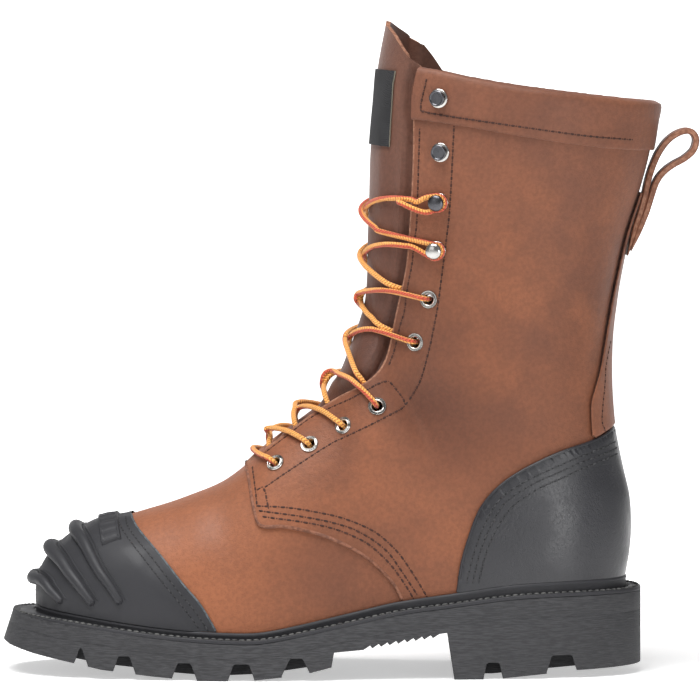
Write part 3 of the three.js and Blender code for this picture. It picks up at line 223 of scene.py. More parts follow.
def sole_top(x):
    return HEEL_HEIGHT * sole_top_share(sole_along(x))


def seat(x):
    return sole_top(x) - WELT_THICKNESS


def bead_top(x):
    return sole_top(x) + bead_rise(sole_along(x))


def ridge(x):
    return BALL_WIDTH * foot_inward((UPPER_BACK - np.asarray(x, float)) / UPPER_LENGTH)


def round_end(distance, length, power):
    left = np.clip(1 - distance / length, 0, 1)
    return (1 - left ** power) ** (1 / power)


def foot_width_squared(x, z, lateral):
    along = (UPPER_BACK - x) / UPPER_LENGTH
    from_toe = (1 - along) * UPPER_LENGTH
    from_heel = (along - FOOT_REAR) * UPPER_LENGTH
    core = BALL_WIDTH * np.where(lateral, foot_lateral(along), foot_medial(along))
    width = core * round_end(from_toe, TOE_ROUND_LENGTH, TOE_SQUARENESS)
    width = width * round_end(from_heel, FOOT_REAR_ROUND, 2)
    widest = sole_top(x) + 8
    crown = side_z(foot_crown(along)) - widest
    crown = crown * round_end(from_toe, TOE_CROWN_LENGTH, 2.2)
    rise = (z - widest) / np.maximum(crown, 0.01)
    tuck = np.maximum(1 - 0.05 * ((widest - z) / 20) ** 2, 0.5)
    dome = width ** 2 * (1 - np.clip(rise, 0, 1) ** 2.15) ** (2 / 2.15)
    above = -core ** 2 * (rise ** 2 - 1)
    inside = np.where(z <= widest, (width * tuck) ** 2, np.where(rise >= 1, above, dome))
    outside = -core ** 2 * 0.05 * (1 + np.maximum(-from_toe, -from_heel))
    outside = np.where(rise > 1, np.minimum(outside, above), outside)
    return np.where((from_toe <= 0) | (from_heel <= 0), outside, inside)


def leg_width_squared(x, z):
    up = z / COLLAR_HEIGHT
    front, back = side_x(leg_front(up)), side_x(leg_back(up))
    half = COLLAR_WIDTH * leg_half(up)
    share = (2 * x - front - back) / (back - front)
    rest = 1 - share ** 2
    return half ** 2 * np.where(rest <= 0, rest, np.abs(rest) ** (2 / SHAFT_SQUARENESS))


def width_squared(x, z, lateral):
    foot, leg = foot_width_squared(x, z, lateral), leg_width_squared(x, z)
    return (foot + leg + np.hypot(foot - leg, INSTEP_BLEND)) / 2 - BLEND_SETBACK


def on_form(x, z, sign, lift=0.0):
    """Points on the leather's form at places in the side view, lifted off it; sign -1 is lateral."""
    x, z, sign = (np.asarray(v, float) for v in (x, z, sign))
    lateral = sign < 0
    half = np.sqrt(np.maximum(width_squared(x, z, lateral), 0))
    y = ridge(x) + np.sign(sign) * half
    step = 0.4
    slope_x = (width_squared(x + step, z, lateral) - width_squared(x - step, z, lateral)) / (2 * step)
    slope_z = (width_squared(x, z + step, lateral) - width_squared(x, z - step, lateral)) / (2 * step)
    normal = np.stack([-slope_x, 2 * (y - ridge(x)), -slope_z], axis=-1)
    normal = unit(normal)
    points = np.stack([x, y, z], axis=-1)
    return points + normal * np.asarray(lift, float)[..., None], normal


def crossing(inside, outside):
    """Where lines of sight leave the form, on their way from points inside it."""
    low = np.zeros(len(inside))
    high = np.ones(len(inside))
    for _ in range(40):
        middle = (low + high) / 2
        at = inside + (outside - inside) * middle[:, None]
        within = width_squared(*at.T, True) > 0
        low = np.where(within, middle, low)
        high = np.where(within, high, middle)
    return inside + (outside - inside) * low[:, None]


def sight_ends(position):
    """Front ridge and far end of lines of sight at places between the rows of the table."""
    table = np.array(GIRTHS, float)
    i = np.minimum(np.floor(position).astype(int), len(table) - 2)
    t = (position - i)[:, None]
    rows = table[i] * (1 - t) + table[i + 1] * t
    back = position >= FIRST_BACK_GIRTH
    front, end = side(rows[:, 0:2]), side(rows[:, 2:4])
    middle = np.where(back[:, None], (front + end) / 2, front + (end - front) * 0.85)
    ridge_point = crossing(middle, front + (front - end) * 0.2)
    back_point = crossing(middle, end + (end - front) * 0.2)
    return ridge_point, np.where(back[:, None], back_point, end), back


def unit(vectors):
    return vectors / np.linalg.norm(vectors, axis=-1, keepdims=True)


def square_to(up, along):
    """Unit directions nearest to up that are square to the unit directions along."""
    return unit(up - along * np.sum(up * along, axis=1, keepdims=True))


def lengths_along(line):
    return np.concatenate([[0], np.cumsum(np.linalg.norm(np.diff(line, axis=0), axis=1))])


def placed_at(marks, steps, values):
    """Values at marks along a line, from the values at its steps."""
    return np.stack([np.interp(marks, steps, column) for column in values.T], axis=1)


def between(start, end, share):
    """Places on the lines from start to end; share has a row for each line, or one row for all."""
    return start[:, None] + (end - start)[:, None] * share[..., None]


def smooth_steps(value, low, high):
    t = np.clip((np.asarray(value, float) - low) / (high - low), 0, 1)
    return t * t * (3 - 2 * t)


def spline(points, per_span=6):
    """A smooth line through points."""
    points = np.asarray(points, float)
    padded = np.concatenate([points[:1] * 2 - points[1:2], points, points[-1:] * 2 - points[-2:-1]])
    rows = []
    for i in range(len(points) - 1):
        a, b, c, d = padded[i:i + 4]
        for k in range(per_span):
            t = k / per_span
            rows.append(0.5 * (2 * b + (c - a) * t + (2 * a - 5 * b + 4 * c - d) * t * t
                               + (3 * b - a - 3 * c + d) * t ** 3))
    rows.append(points[-1])
    return np.array(rows)


def distance_to_line(x, z, line):
    """Distance in the side view to a line of points, and how far along it the nearest place is."""
    best = np.full(np.shape(x), 1e9)
    where = np.zeros(np.shape(x))
    for k in range(len(line) - 1):
        a, step = line[k], line[k + 1] - line[k]
        t = np.clip(((x - a[0]) * step[0] + (z - a[1]) * step[1]) / (step @ step), 0, 1)
        gap = np.hypot(x - a[0] - t * step[0], z - a[1] - t * step[1])
        where = np.where(gap < best, (k + t) / (len(line) - 1), where)
        best = np.minimum(best, gap)
    return best, where


def inside_outline(x, z, outline):
    result = np.zeros(np.shape(x), bool)
    for a, b in zip(outline, np.roll(outline, -1, axis=0)):
        if a[1] == b[1]:
            continue
        crosses = (z < a[1]) != (z < b[1])
        result ^= crosses & (x < a[0] + (z - a[1]) * (b[0] - a[0]) / (b[1] - a[1]))
    return result


def zone(line, closing):
    """How deep a place in the side view lies inside a zone, negative outside it.

    The zone's edge is the line; the closing corners only say which side is inside.
    """
    outline = np.concatenate([line, np.asarray(closing, float)])

    def depth(x, z):
        gap, _ = distance_to_line(x, z, line)
        return np.where(inside_outline(x, z, outline), gap, -gap)

    return depth


facing_line = spline(side(FACING_EDGE))
quarter_line = spline(side(QUARTER_EDGE))
toe_cap_line = spline(side(TOE_CAP_EDGE))
counter_line = spline(side(COUNTER_EDGE))
collar_line = spline(side(COLLAR_TOP))
band_line = spline(side(COLLAR_BAND_LOW))
throat_depth = zone(facing_line, [(side_x(0.335), FAR), (side_x(0.9), FAR), side((0.68, 0.45))])
quarter_depth = zone(quarter_line, [(side_x(0.38), -FAR), (FAR, -FAR), (FAR, FAR), (side_x(0.647), FAR)])
toe_cap_depth = zone(toe_cap_line, [(side_x(0.69), -FAR), (-FAR, -FAR), (-FAR, FAR)])
counter_depth = zone(counter_line, [(FAR, side_z(0.418)), (FAR, -FAR), (side_x(0.295), -FAR)])
above_collar = zone(collar_line, [(FAR, side_z(0.94)), (FAR, FAR), (side_x(0.353), FAR)])
above_tongue = zone(spline(side(TONGUE_TOP)), [(FAR, side_z(0.9)), (FAR, FAR), (-FAR, FAR)])


# Faces between rows of points
def quads(i, above, j, following, width):
    corners = (i * width + j, i * width + following, above * width + following, above * width + j)
    return np.stack([corner.ravel() for corner in corners], axis=1)


def grid_faces(rows, columns, split=False):
    """Quads of a grid of points, or each of them as two triangles."""
    i, j = np.meshgrid(np.arange(rows - 1), np.arange(columns - 1), indexing="ij")
    faces = quads(i, i + 1, j, j + 1, columns)
    return np.concatenate([faces[:, :3], faces[:, (0, 2, 3)]]) if split else faces


def ring_faces(rings, sides, closed=False):
    """Quads between rings of points, and from the last ring to the first where closed."""
    i, j = np.meshgrid(np.arange(rings if closed else rings - 1), np.arange(sides), indexing="ij")
    return quads(i, (i + 1) % rings, j, (j + 1) % sides, sides)


# Skins: triangles over the form, as places in the side view with a side
def form_skin(first, last, row_count, columns):
    position = np.linspace(first, last, row_count)
    ridge_point, end, _ = sight_ends(position)
    turn = np.linspace(-1, 1, 2 * columns + 1)
    closing = smooth_steps(position, FIRST_BACK_GIRTH - 9, FIRST_BACK_GIRTH)[:, None]
    size = np.abs(turn)[None, :]
    share = (1 - np.cos(math.pi * size / 2)) * (1 - closing) + (1 - np.cos(math.pi * size)) / 2 * closing
    place = between(ridge_point, end, share)
    sign = np.broadcast_to(np.sign(turn), share.shape)
    points = np.stack([place[..., 0], place[..., 1], sign], axis=-1).reshape(-1, 3)
    return points, grid_faces(row_count, 2 * columns + 1, split=True)


def cut(skin, level, keep_both=False):
    """Cuts a skin where the level passes zero, and keeps the side above it, or both."""
    points, faces = skin
    values = np.asarray(level(points), float)
    values = np.where(np.abs(values) < 1e-4, 1e-4, values)
    positive = values[faces] > 0
    count = positive.sum(axis=1)
    whole = faces[count == 3]
    below = faces[count == 0]
    made, dropped = [whole], [below]
    new_points, edge_index = [points], {}
    total = len(points)
    for wanted in (1, 2):
        chosen = faces[count == wanted]
        flags = positive[count == wanted]
        if not len(chosen):
            continue
        odd = np.argmax(flags if wanted == 1 else ~flags, axis=1)
        row = np.arange(len(chosen))
        a, b, c = (chosen[row, (odd + k) % 3] for k in range(3))
        for p, q, r in zip(a, b, c):
            pair = []
            for other in (q, r):
                key = (min(p, other), max(p, other))
                if key not in edge_index:
                    t = values[key[0]] / (values[key[0]] - values[key[1]])
                    new_points.append((points[key[0]] * (1 - t) + points[key[1]] * t)[None])
                    edge_index[key] = total
                    total += 1
                pair.append(edge_index[key])
            tip = [[p, pair[0], pair[1]]]
            base = [[pair[0], q, r], [pair[0], r, pair[1]]]
            (made if wanted == 1 else dropped).append(np.array(tip))
            (dropped if wanted == 1 else made).append(np.array(base))
    points = np.concatenate(new_points)
    faces = np.concatenate(made + (dropped if keep_both else []))
    used, faces = np.unique(faces, return_inverse=True)
    return points[used], faces.reshape(-1, 3)


def trimmed(skin, *depths):
    """Keeps what lies inside every depth."""
    for depth in depths:
        skin = cut(skin, lambda p, d=depth: d(*p.T[:2]))
    return skin


def scored(skin, depth, *levels):
    """Adds edges to a skin along lines of equal depth, so that a step there stays crisp."""
    for level in levels:
        skin = cut(skin, lambda p, at=level: depth(*p.T[:2]) - at, keep_both=True)
    return skin


# Blender objects
def linked(name, data):
    obj = bpy.data.objects.new(name, data)
    bpy.context.scene.collection.objects.link(obj)
    return obj


def plain_object(name, points, faces):
    """An object with a mesh, from points in millimetres."""
    mesh = bpy.data.meshes.new(name)
    metres = [tuple(point) for point in np.asarray(points, float) * MM]
    mesh.from_pydata(metres, [], [tuple(map(int, face)) for face in faces])
    return linked(name, mesh)


def mesh_object(name, points, faces, material, merge=0.02, sharp_degrees=38):
    obj = plain_object(name, points, faces)
    mesh = obj.data
    work = bmesh.new()
    work.from_mesh(mesh)
    if merge:
        bmesh.ops.remove_doubles(work, verts=work.verts, dist=merge * MM)
        bmesh.ops.dissolve_degenerate(work, edges=work.edges, dist=merge * MM * 0.5)
    bmesh.ops.recalc_face_normals(work, faces=work.faces)
    work.to_mesh(mesh)
    work.free()
    mesh.materials.append(material)
    mesh.shade_smooth()
    mesh.set_sharp_from_angle(angle=math.radians(sharp_degrees))
    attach(obj, "root")
    return obj


def apply_modifiers(obj):
    graph = bpy.context.evaluated_depsgraph_get()
    mesh = bpy.data.meshes.new_from_object(obj.evaluated_get(graph))
    old = obj.data
    obj.modifiers.clear()
    obj.data = mesh
    bpy.data.meshes.remove(old)
    return obj


# Shaders: node trees in code, with the shared effects as groups
class Tree:
    """Adds nodes to a tree, with their settings and what feeds their sockets."""

    def __init__(self, tree):
        self.tree = tree
        tree.nodes.clear()

    def add(self, kind, inputs=None, **settings):
        node = self.tree.nodes.new(kind)
        for name, value in settings.items():
            setattr(node, name, value)
        for name, value in (inputs or {}).items():
            if isinstance(value, bpy.types.NodeSocket):
                self.tree.links.new(value, node.inputs[name])
            else:
                node.inputs[name].default_value = value
        return node

    def math(self, operation, a, b=0.5):
        return self.add("ShaderNodeMath", {0: a, 1: b}, operation=operation).outputs[0]

    def noise(self, position, scale, detail=3.0):
        inputs = {"Vector": position, "Scale": scale, "Detail": detail}
        return self.add("ShaderNodeTexNoise", inputs).outputs[0]

    def steps(self, value, low, high, first=0.0, last=1.0):
        inputs = {"Value": value, "From Min": low, "From Max": high, "To Min": first, "To Max": last}
        return self.add("ShaderNodeMapRange", inputs, interpolation_type="SMOOTHSTEP").outputs[0]

    def mix(self, share, a, b, blend="MIX"):
        inputs = {0: share, 6: a, 7: b}
        return self.add("ShaderNodeMix", inputs, data_type="RGBA", blend_type=blend).outputs[2]

    def stretch(self, position, scale):
        inputs = {0: position, 1: scale}
        return self.add("ShaderNodeVectorMath", inputs, operation="MULTIPLY").outputs[0]

    def parts(self, vector):
        return self.add("ShaderNodeSeparateXYZ", {0: vector}).outputs

    def effect(self, group, position):
        return self.add("ShaderNodeGroup", {"Position": position}, node_tree=group).outputs

    def times(self, value, share):
        return self.math("MULTIPLY", value, share)

    def tint(self, colour, mask, share, other):
        """The colour with a share of another one where the mask is full."""
        return self.mix(self.times(mask, share), colour, linear(other))


def effect_group(name, outputs, build):
    """A group fed by a position, whose build function returns one value for each output."""
    group = bpy.data.node_groups.new(name, "ShaderNodeTree")
    group.interface.new_socket(name="Position", in_out="INPUT", socket_type="NodeSocketVector")
    for label in outputs:
        group.interface.new_socket(name=label, in_out="OUTPUT", socket_type="NodeSocketFloat")
    tree = Tree(group)
    source = tree.add("NodeGroupInput")
    tree.add("NodeGroupOutput", dict(zip(outputs, build(tree, source.outputs[0]))))
    return group


def grain_parts(tree, position):
    cells = tree.add("ShaderNodeTexVoronoi", {"Vector": position, "Scale": 1100.0}).outputs["Distance"]
    pores = tree.steps(cells, 0.0, 0.55)
    wrinkles = tree.noise(position, 420.0, 4.0)
    nap = tree.noise(position, 1500.0, 2.0)
    mixed = tree.math("ADD", tree.times(pores, 0.45), tree.times(wrinkles, 0.9))
    return tree.math("ADD", mixed, tree.times(nap, 0.35)), pores


def drift_parts(tree, position):
    broad = tree.steps(tree.noise(position, 13.0, 3.0), 0.38, 0.72)
    middle = tree.steps(tree.noise(position, 62.0, 4.0), 0.34, 0.68)
    fine = tree.noise(position, 520.0, 3.0)
    return broad, middle, fine


def scuff_parts(tree, position):
    patches = tree.steps(tree.noise(position, 38.0, 5.0), 0.56, 0.74)
    strokes = tree.noise(tree.stretch(position, (900.0, 300.0, 240.0)), 1.0, 2.0)
    return (tree.times(patches, tree.steps(strokes, 0.45, 0.7)),)


def grinding_parts(tree, position):
    lines = tree.noise(tree.stretch(position, (60.0, 60.0, 3200.0)), 1.0, 3.0)
    dashes = tree.noise(tree.stretch(position, (210.0, 210.0, 1900.0)), 1.0, 4.0)
    specks = tree.noise(position, 1500.0, 2.0)
    height = tree.math("ADD", tree.times(lines, 0.6), tree.times(dashes, 0.7))
    return tree.math("ADD", height, tree.times(specks, 0.25)), tree.steps(dashes, 0.38, 0.66)


def braid_parts(tree, position):
    """Plaited yarns in small chevrons, with a darker yarn along one side, from a tube's own place."""
    along, around, _ = tree.parts(position)
    turning = tree.times(tree.math("SINE", tree.times(along, 0.09)), 0.1)
    twist = tree.math("ADD", around, turning)
    fold = tree.math("ABSOLUTE", tree.math("SUBTRACT", tree.math("FRACT", tree.times(twist, 3.0)), 0.5))
    yarn = tree.math("FRACT", tree.math("ADD", tree.times(along, 0.66), tree.times(fold, 1.2)))
    crown = tree.math("SINE", tree.times(yarn, math.pi))
    side_line = tree.math("ABSOLUTE", tree.math("SUBTRACT", tree.math("FRACT", twist), 0.28))
    return crown, tree.steps(side_line, 0.15, 0.07), tree.steps(crown, 0.62, 0.15)


def weave_parts(tree, position):
    x, y, z = tree.parts(tree.stretch(position, (6500.0, 6500.0, 6500.0)))
    warp = tree.math("SINE", tree.math("ADD", x, y))
    weft = tree.math("SINE", z)
    return (tree.times(warp, weft),)


hide_grain = effect_group("hide_grain", ("Height", "Pores"), grain_parts)
colour_drift = effect_group("colour_drift", ("Broad", "Middle", "Fine"), drift_parts)
scuffs = effect_group("scuffs", ("Mask",), scuff_parts)
grinding_marks = effect_group("grinding_marks", ("Height", "Streaks"), grinding_parts)
lace_braid = effect_group("lace_braid", ("Height", "Edge", "Shade"), braid_parts)
plain_weave = effect_group("plain_weave", ("Height",), weave_parts)


def linear(colour):
    """Linear colour from the 0 to 255 values that a screen shows."""
    parts = [value / 255 for value in colour]
    return tuple((v / 12.92 if v <= 0.04045 else ((v + 0.055) / 1.055) ** 2.4) for v in parts) + (1.0,)


def surface(tree, colour, roughness, height=None, depth=0.0002, strength=0.6, **constants):
    """The shader of a material; constants are set straight on its sockets."""
    inputs = {"Base Color": colour, "Roughness": roughness, **constants}
    if height is not None:
        bump = tree.add("ShaderNodeBump", {"Height": height, "Distance": depth, "Strength": strength})
        inputs["Normal"] = bump.outputs[0]
    shader = tree.add("ShaderNodeBsdfPrincipled", inputs)
    tree.add("ShaderNodeOutputMaterial", {"Surface": shader.outputs[0]})


def material(name, build):
    made = bpy.data.materials.new(name)
    made.use_nodes = True
    tree = Tree(made.node_tree)
    position = tree.add("ShaderNodeTexCoord").outputs["Object"]
    build(tree, position)
    return made


# Painted shade behind the throat, in the instep fold, along the shaft and towards the counter, partly darker
# leather: X, Z and reach in metres, and how dark
SHADE_AND_DARK_LEATHER_SPOTS = (
    (-0.02, 0.13, 0.034, 0.95), (-0.006, 0.116, 0.045, 0.7), (0.03, 0.125, 0.07, 0.35),
    (0.02, 0.3, 0.05, 0.4), (-0.03, 0.2, 0.06, 0.35), (-0.06, 0.05, 0.07, 0.5),
    (0.045, 0.085, 0.06, 0.45), (-0.02, 0.165, 0.05, 0.45),
)


def brown_leather(name, plain, deep, bright, worn_top):
    def build(tree, position):
        broad, middle, fine = tree.effect(colour_drift, position)
        height, pores = tree.effect(hide_grain, position)
        marks = tree.effect(scuffs, position)[0]
        x, _, z = tree.parts(position)
        colour = tree.tint(linear(plain), broad, 0.9, deep)
        colour = tree.tint(colour, middle, 0.22, bright)
        # Lighter towards the toe: partly the vamp's more orange leather, partly painted light where the vamp
        # faces up towards the lamps
        toe_tone_and_light = tree.steps(x, -0.03, -0.16)
        colour = tree.tint(colour, toe_tone_and_light, 0.6, bright)
        # Darken the spots listed above: painted shade in dents and folds, partly darker leather
        for place_x, place_z, reach, share in SHADE_AND_DARK_LEATHER_SPOTS:
            ends = {0: position, 1: (place_x, 0, place_z)}
            away = tree.add("ShaderNodeVectorMath", ends, operation="SUBTRACT")
            flat = tree.stretch(away.outputs[0], (1.0, 0.0, 1.25))
            gap = tree.add("ShaderNodeVectorMath", {0: flat}, operation="LENGTH").outputs["Value"]
            colour = tree.mix(tree.steps(gap, reach, 0.0, 0.0, share), colour, linear(deep))
        upwards = tree.steps(z, 0.17, 0.3)
        colour = tree.tint(colour, upwards, 0.5, worn_top)
        colour = tree.tint(colour, marks, 0.16, bright)
        shade = tree.steps(fine, 0.3, 0.7, 0.9, 1.08)
        grey = tree.add("ShaderNodeCombineXYZ", {0: shade, 1: shade, 2: shade}).outputs[0]
        colour = tree.mix(1.0, colour, grey, "MULTIPLY")
        colour = tree.tint(colour, tree.math("SUBTRACT", 1.0, pores), 0.18, deep)
        roughness = tree.steps(broad, 0.0, 1.0, 0.62, 0.5)
        surface(tree, colour, roughness, height, 0.00022, 0.7,
                **{"Specular IOR Level": 0.36, "Sheen Weight": 0.12, "Sheen Roughness": 0.45})
    return material(name, build)


def cut_edge(name, plain, dark):
    def build(tree, position):
        _, middle, fine = tree.effect(colour_drift, position)
        colour = tree.mix(tree.steps(fine, 0.35, 0.65), linear(plain), linear(dark))
        surface(tree, colour, tree.steps(middle, 0.0, 1.0, 0.7, 0.9), fine, 0.0002)
    return material(name, build)


def black_leather(name, plain, bright):
    def build(tree, position):
        broad, middle, fine = tree.effect(colour_drift, position)
        height, pores = tree.effect(hide_grain, position)
        colour = tree.tint(linear(plain), broad, 0.5, bright)
        colour = tree.tint(colour, pores, 0.25, bright)
        roughness = tree.steps(middle, 0.0, 1.0, 0.33, 0.45)
        surface(tree, colour, roughness, tree.math("ADD", height, fine), 0.0002, 0.6,
                **{"Specular IOR Level": 0.5, "Coat Weight": 0.12, "Coat Roughness": 0.3})
    return material(name, build)


def moulded_rubber(name, plain, bright):
    def build(tree, position):
        broad, middle, fine = tree.effect(colour_drift, position)
        marks = tree.effect(scuffs, position)[0]
        colour = tree.tint(linear(plain), broad, 0.4, bright)
        colour = tree.tint(colour, marks, 0.2, bright)
        roughness = tree.steps(middle, 0.0, 1.0, 0.48, 0.62)
        surface(tree, colour, roughness, fine, 0.00012, 0.35, **{"Specular IOR Level": 0.3})
    return material(name, build)


def ground_rubber(name, plain, streak):
    def build(tree, position):
        broad, _, _ = tree.effect(colour_drift, position)
        height, streaks = tree.effect(grinding_marks, position)
        colour = tree.tint(linear(plain), streaks, 0.75, streak)
        colour = tree.tint(colour, broad, 0.25, plain)
        surface(tree, colour, tree.steps(streaks, 0.0, 1.0, 0.6, 0.78), height, 0.0004, 0.8,
                **{"Specular IOR Level": 0.3})
    return material(name, build)


def plated_metal(name, plain, dark, roughness):
    def build(tree, position):
        _, middle, fine = tree.effect(colour_drift, position)
        colour = tree.tint(linear(plain), middle, 0.5, dark)
        surface(tree, colour, tree.steps(fine, 0.3, 0.7, roughness, roughness + 0.12), fine, 0.00003, 0.2,
                Metallic=1.0)
    return material(name, build)


def braided_cord(name, plain, edge, dark):
    def build(tree, position):
        place = tree.add("ShaderNodeTexCoord").outputs["UV"]
        height, edges, shade = tree.effect(lace_braid, place)
        colour = tree.mix(edges, linear(plain), linear(edge))
        colour = tree.tint(colour, shade, 0.85, dark)
        surface(tree, colour, 0.7, height, 0.0006, 0.9, **{"Sheen Weight": 0.2})
    return material(name, build)


def spun_thread(name, plain, dark):
    def build(tree, position):
        _, _, fine = tree.effect(colour_drift, position)
        colour = tree.mix(tree.steps(fine, 0.35, 0.65), linear(plain), linear(dark))
        surface(tree, colour, 0.75, fine, 0.00006, 0.4)
    return material(name, build)


def woven(name, plain, dark):
    def build(tree, position):
        height = tree.effect(plain_weave, position)[0]
        _, middle, _ = tree.effect(colour_drift, position)
        colour = tree.tint(linear(plain), middle, 0.6, dark)
        surface(tree, colour, tree.steps(height, -1.0, 1.0, 0.95, 0.8), height, 0.0002, 0.5)
    return material(name, build)


LEATHER = brown_leather("brown_nubuck_leather", (131, 80, 55), (94, 55, 38), (168, 102, 66), (110, 70, 54))
TONGUE_LEATHER = brown_leather("tongue_leather", (104, 66, 51), (78, 49, 39), (118, 76, 58), (104, 69, 55))
RAW_EDGE = cut_edge("cut_leather_edge", (158, 112, 88), (124, 82, 62))
FRAYED_EDGE = cut_edge("frayed_leather_edge", (140, 92, 70), (104, 66, 50))
RUBBER_EDGE = cut_edge("pale_rubber_edge", (98, 104, 108), (66, 70, 74))
DARK_EDGE = cut_edge("dark_cut_edge", (86, 54, 44), (60, 40, 34))
LINING = woven("cloth_lining", (96, 78, 66), (70, 56, 48))
BLACK_LEATHER = black_leather("black_leather", (36, 36, 40), (50, 50, 54))
BLACK_RUBBER = moulded_rubber("black_rubber", (49, 49, 52), (60, 60, 63))
SOLE_RUBBER = ground_rubber("ground_sole_rubber", (53, 53, 55), (78, 78, 80))
INSOLE_CLOTH = woven("insole_cloth", (120, 104, 84), (92, 78, 62))
GUNMETAL = plated_metal("nickel_plate", (206, 204, 200), (140, 138, 136), 0.16)
DARK_METAL = plated_metal("dark_nickel", (104, 104, 108), (62, 62, 66), 0.24)
CORD = braided_cord("orange_braid", (252, 180, 88), (206, 80, 54), (188, 92, 38))
BROWN_THREAD = spun_thread("brown_thread", (66, 34, 22), (48, 24, 16))
DARK_THREAD = spun_thread("black_thread", (62, 62, 64), (40, 40, 42))
WAXED_THREAD = spun_thread("waxed_thread", (92, 92, 90), (50, 50, 50))
# Pinhole colours are painted shade: dark discs that stand for the shadowed needle holes
PINHOLE = spun_thread("pinhole", (70, 38, 26), (56, 30, 20))
DARK_PINHOLE = spun_thread("dark_pinhole", (22, 22, 24), (16, 16, 18))
LABEL_WEAVE = woven("label_weave", (40, 40, 42), (24, 24, 26))
LABEL_EDGE = woven("label_edge", (150, 146, 130), (110, 106, 94))


# Shapes and lifts of the leather
CREASES = (
    (((0.41, 0.5), (0.385, 0.47), (0.36, 0.43), (0.345, 0.4), (0.318, 0.345)), 9.0, -3.4),
    (((0.37, 0.47), (0.33, 0.44), (0.27, 0.41), (0.21, 0.4)), 15.0, -2.2),
    (((0.44, 0.42), (0.40, 0.37), (0.37, 0.31)), 11.0, 0.8),
    (((0.70, 0.28), (0.681, 0.22), (0.698, 0.147)), 14.0, -0.9),
    (((0.735, 0.3), (0.725, 0.22), (0.74, 0.16)), 13.0, 0.7),
    (((0.27, 0.36), (0.21, 0.39), (0.13, 0.405)), 8.0, -0.7),
    (((0.3, 0.42), (0.24, 0.46), (0.15, 0.47)), 10.0, 0.6),
    (((0.25, 0.87), (0.235, 0.75), (0.25, 0.6)), 15.0, -0.7),
    (((0.12, 0.85), (0.13, 0.68), (0.11, 0.52)), 14.0, -0.5),
    (((0.19, 0.85), (0.185, 0.7), (0.2, 0.55)), 13.0, 0.5),
    (((0.345, 0.62), (0.33, 0.55), (0.345, 0.49)), 9.0, 0.7),
)
crease_lines = [(spline(side(places)), width, rise) for places, width, rise in CREASES]
SKIN_TOP_ROW, COLLAR_GAP, LINED_WALL = 31.9, 2.4, 2.6
QUARTER_RAMP = (-0.1, 0.45)


def swell_of(x, z):
    """Soft folds of the leather, as listed troughs and ridges."""
    total = np.zeros(np.shape(x))
    for line, width, rise in crease_lines:
        gap, where = distance_to_line(x, z, line)
        fade = np.sin(math.pi * np.clip(where, 0.02, 0.98)) ** 0.5
        total = total + rise * fade * np.exp(-(gap / width) ** 2 * 2.2)
    return total


def edge_drop(depth, reach, drop):
    """How far a cut edge rolls down, from its edge inwards."""
    left = np.clip(1 - depth / reach, 0, 1)
    return drop * (1 - np.sqrt(1 - left ** 2))


def leather_lift(x, z):
    return QUARTER_STEP * smooth_steps(quarter_depth(x, z), *QUARTER_RAMP) + swell_of(x, z)


def lifted(skin, lift):
    points, faces = skin
    placed, _ = on_form(*points.T, lift(*points.T[:2]))
    return placed, faces


def solidify(obj, thickness, inner=None, rim=None):
    """Gives a sheet its thickness inwards, with materials for its far side and its cut edge."""
    modifier = obj.modifiers.new("thickness", "SOLIDIFY")
    modifier.thickness = thickness * MM
    modifier.offset = -1
    modifier.use_even_offset = False
    if inner is not None:
        obj.data.materials.append(inner)
        obj.data.materials.append(rim)
        modifier.material_offset = 1
        modifier.material_offset_rim = 2
    apply_modifiers(obj)
    obj.data.set_sharp_from_angle(angle=math.radians(42))
    return obj


def away_from(places, radius):
    """Level that is negative within a distance of places on the leather, on both sides."""
    spots = side(places)
    centres = np.concatenate([on_form(*spots.T, sign)[0] for sign in (-1, 1)])

    def level(points):
        placed, _ = on_form(*points.T)
        gaps = [np.linalg.norm(placed - centre, axis=1) for centre in centres]
        return np.min(gaps, axis=0) - radius

    return level


def make_upper():
    skin = form_skin(0.0, SKIN_TOP_ROW, 300, 56)
    skin = trimmed(skin, lambda x, z: -throat_depth(x, z), lambda x, z: -above_collar(x, z) - COLLAR_GAP,
                   lambda x, z: z - seat(x) - CLEARANCE)
    skin = cut(skin, away_from(EYELETS, EYELET_HOLE + EYELET_HOLE_MARGIN))
    skin = scored(skin, quarter_depth, *QUARTER_RAMP)
    obj = mesh_object("upper_leather", *lifted(skin, leather_lift), LEATHER)
    solidify(obj, LINED_WALL, LINING, DARK_EDGE)
    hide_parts("upper")


def cap_lift(x, z):
    """The bumper is thin along its rear edge and thicker towards the toe."""
    depth = toe_cap_depth(x, z)
    return CLEARANCE + 0.9 + 1.6 * smooth_steps(depth, 1.5, 13) - edge_drop(depth, 0.7, 0.4)


def over_the_toe(places, start, end, height):
    """Points of a rib over the toe, from its lateral end to its medial end, with its radius."""
    line = spline(places, 16)
    inner = np.argmax(width_squared(*line.T, True) > 0)
    top = crossing(line[inner:inner + 1], line[0:1])
    line = np.concatenate([top, line[inner:]])
    steps = lengths_along(line)
    share = np.linspace(0, 1, 22)
    marks = share ** 1.6 * steps[-1]
    x, z = np.interp(marks, steps, line[:, 0]), np.interp(marks, steps, line[:, 1])
    radius = start + (end - start) * share
    rise = height * (1 - share) + end * 0.9 * share - radius
    lift = cap_lift(x, z) + rise
    halves = [on_form(x, z, sign, lift)[0] for sign in (-1, 1)]
    points = np.concatenate([halves[0][::-1], halves[1][1:]])
    return points, np.concatenate([radius[::-1], radius[1:]])


def shifted(places, amounts):
    """A line moved sideways in the side view, towards the heel."""
    ahead = np.gradient(places, axis=0)
    out = unit(np.stack([-ahead[:, 1], ahead[:, 0]], axis=1))
    return places + out * np.asarray(amounts)[:, None]


def joined(parts):
    """One mesh from several, as points and faces."""
    points, faces, total = [], [], 0
    for more_points, more_faces in parts:
        points.append(more_points)
        faces.append(np.asarray(more_faces) + total)
        total += len(more_points)
    return np.concatenate(points), np.concatenate(faces)


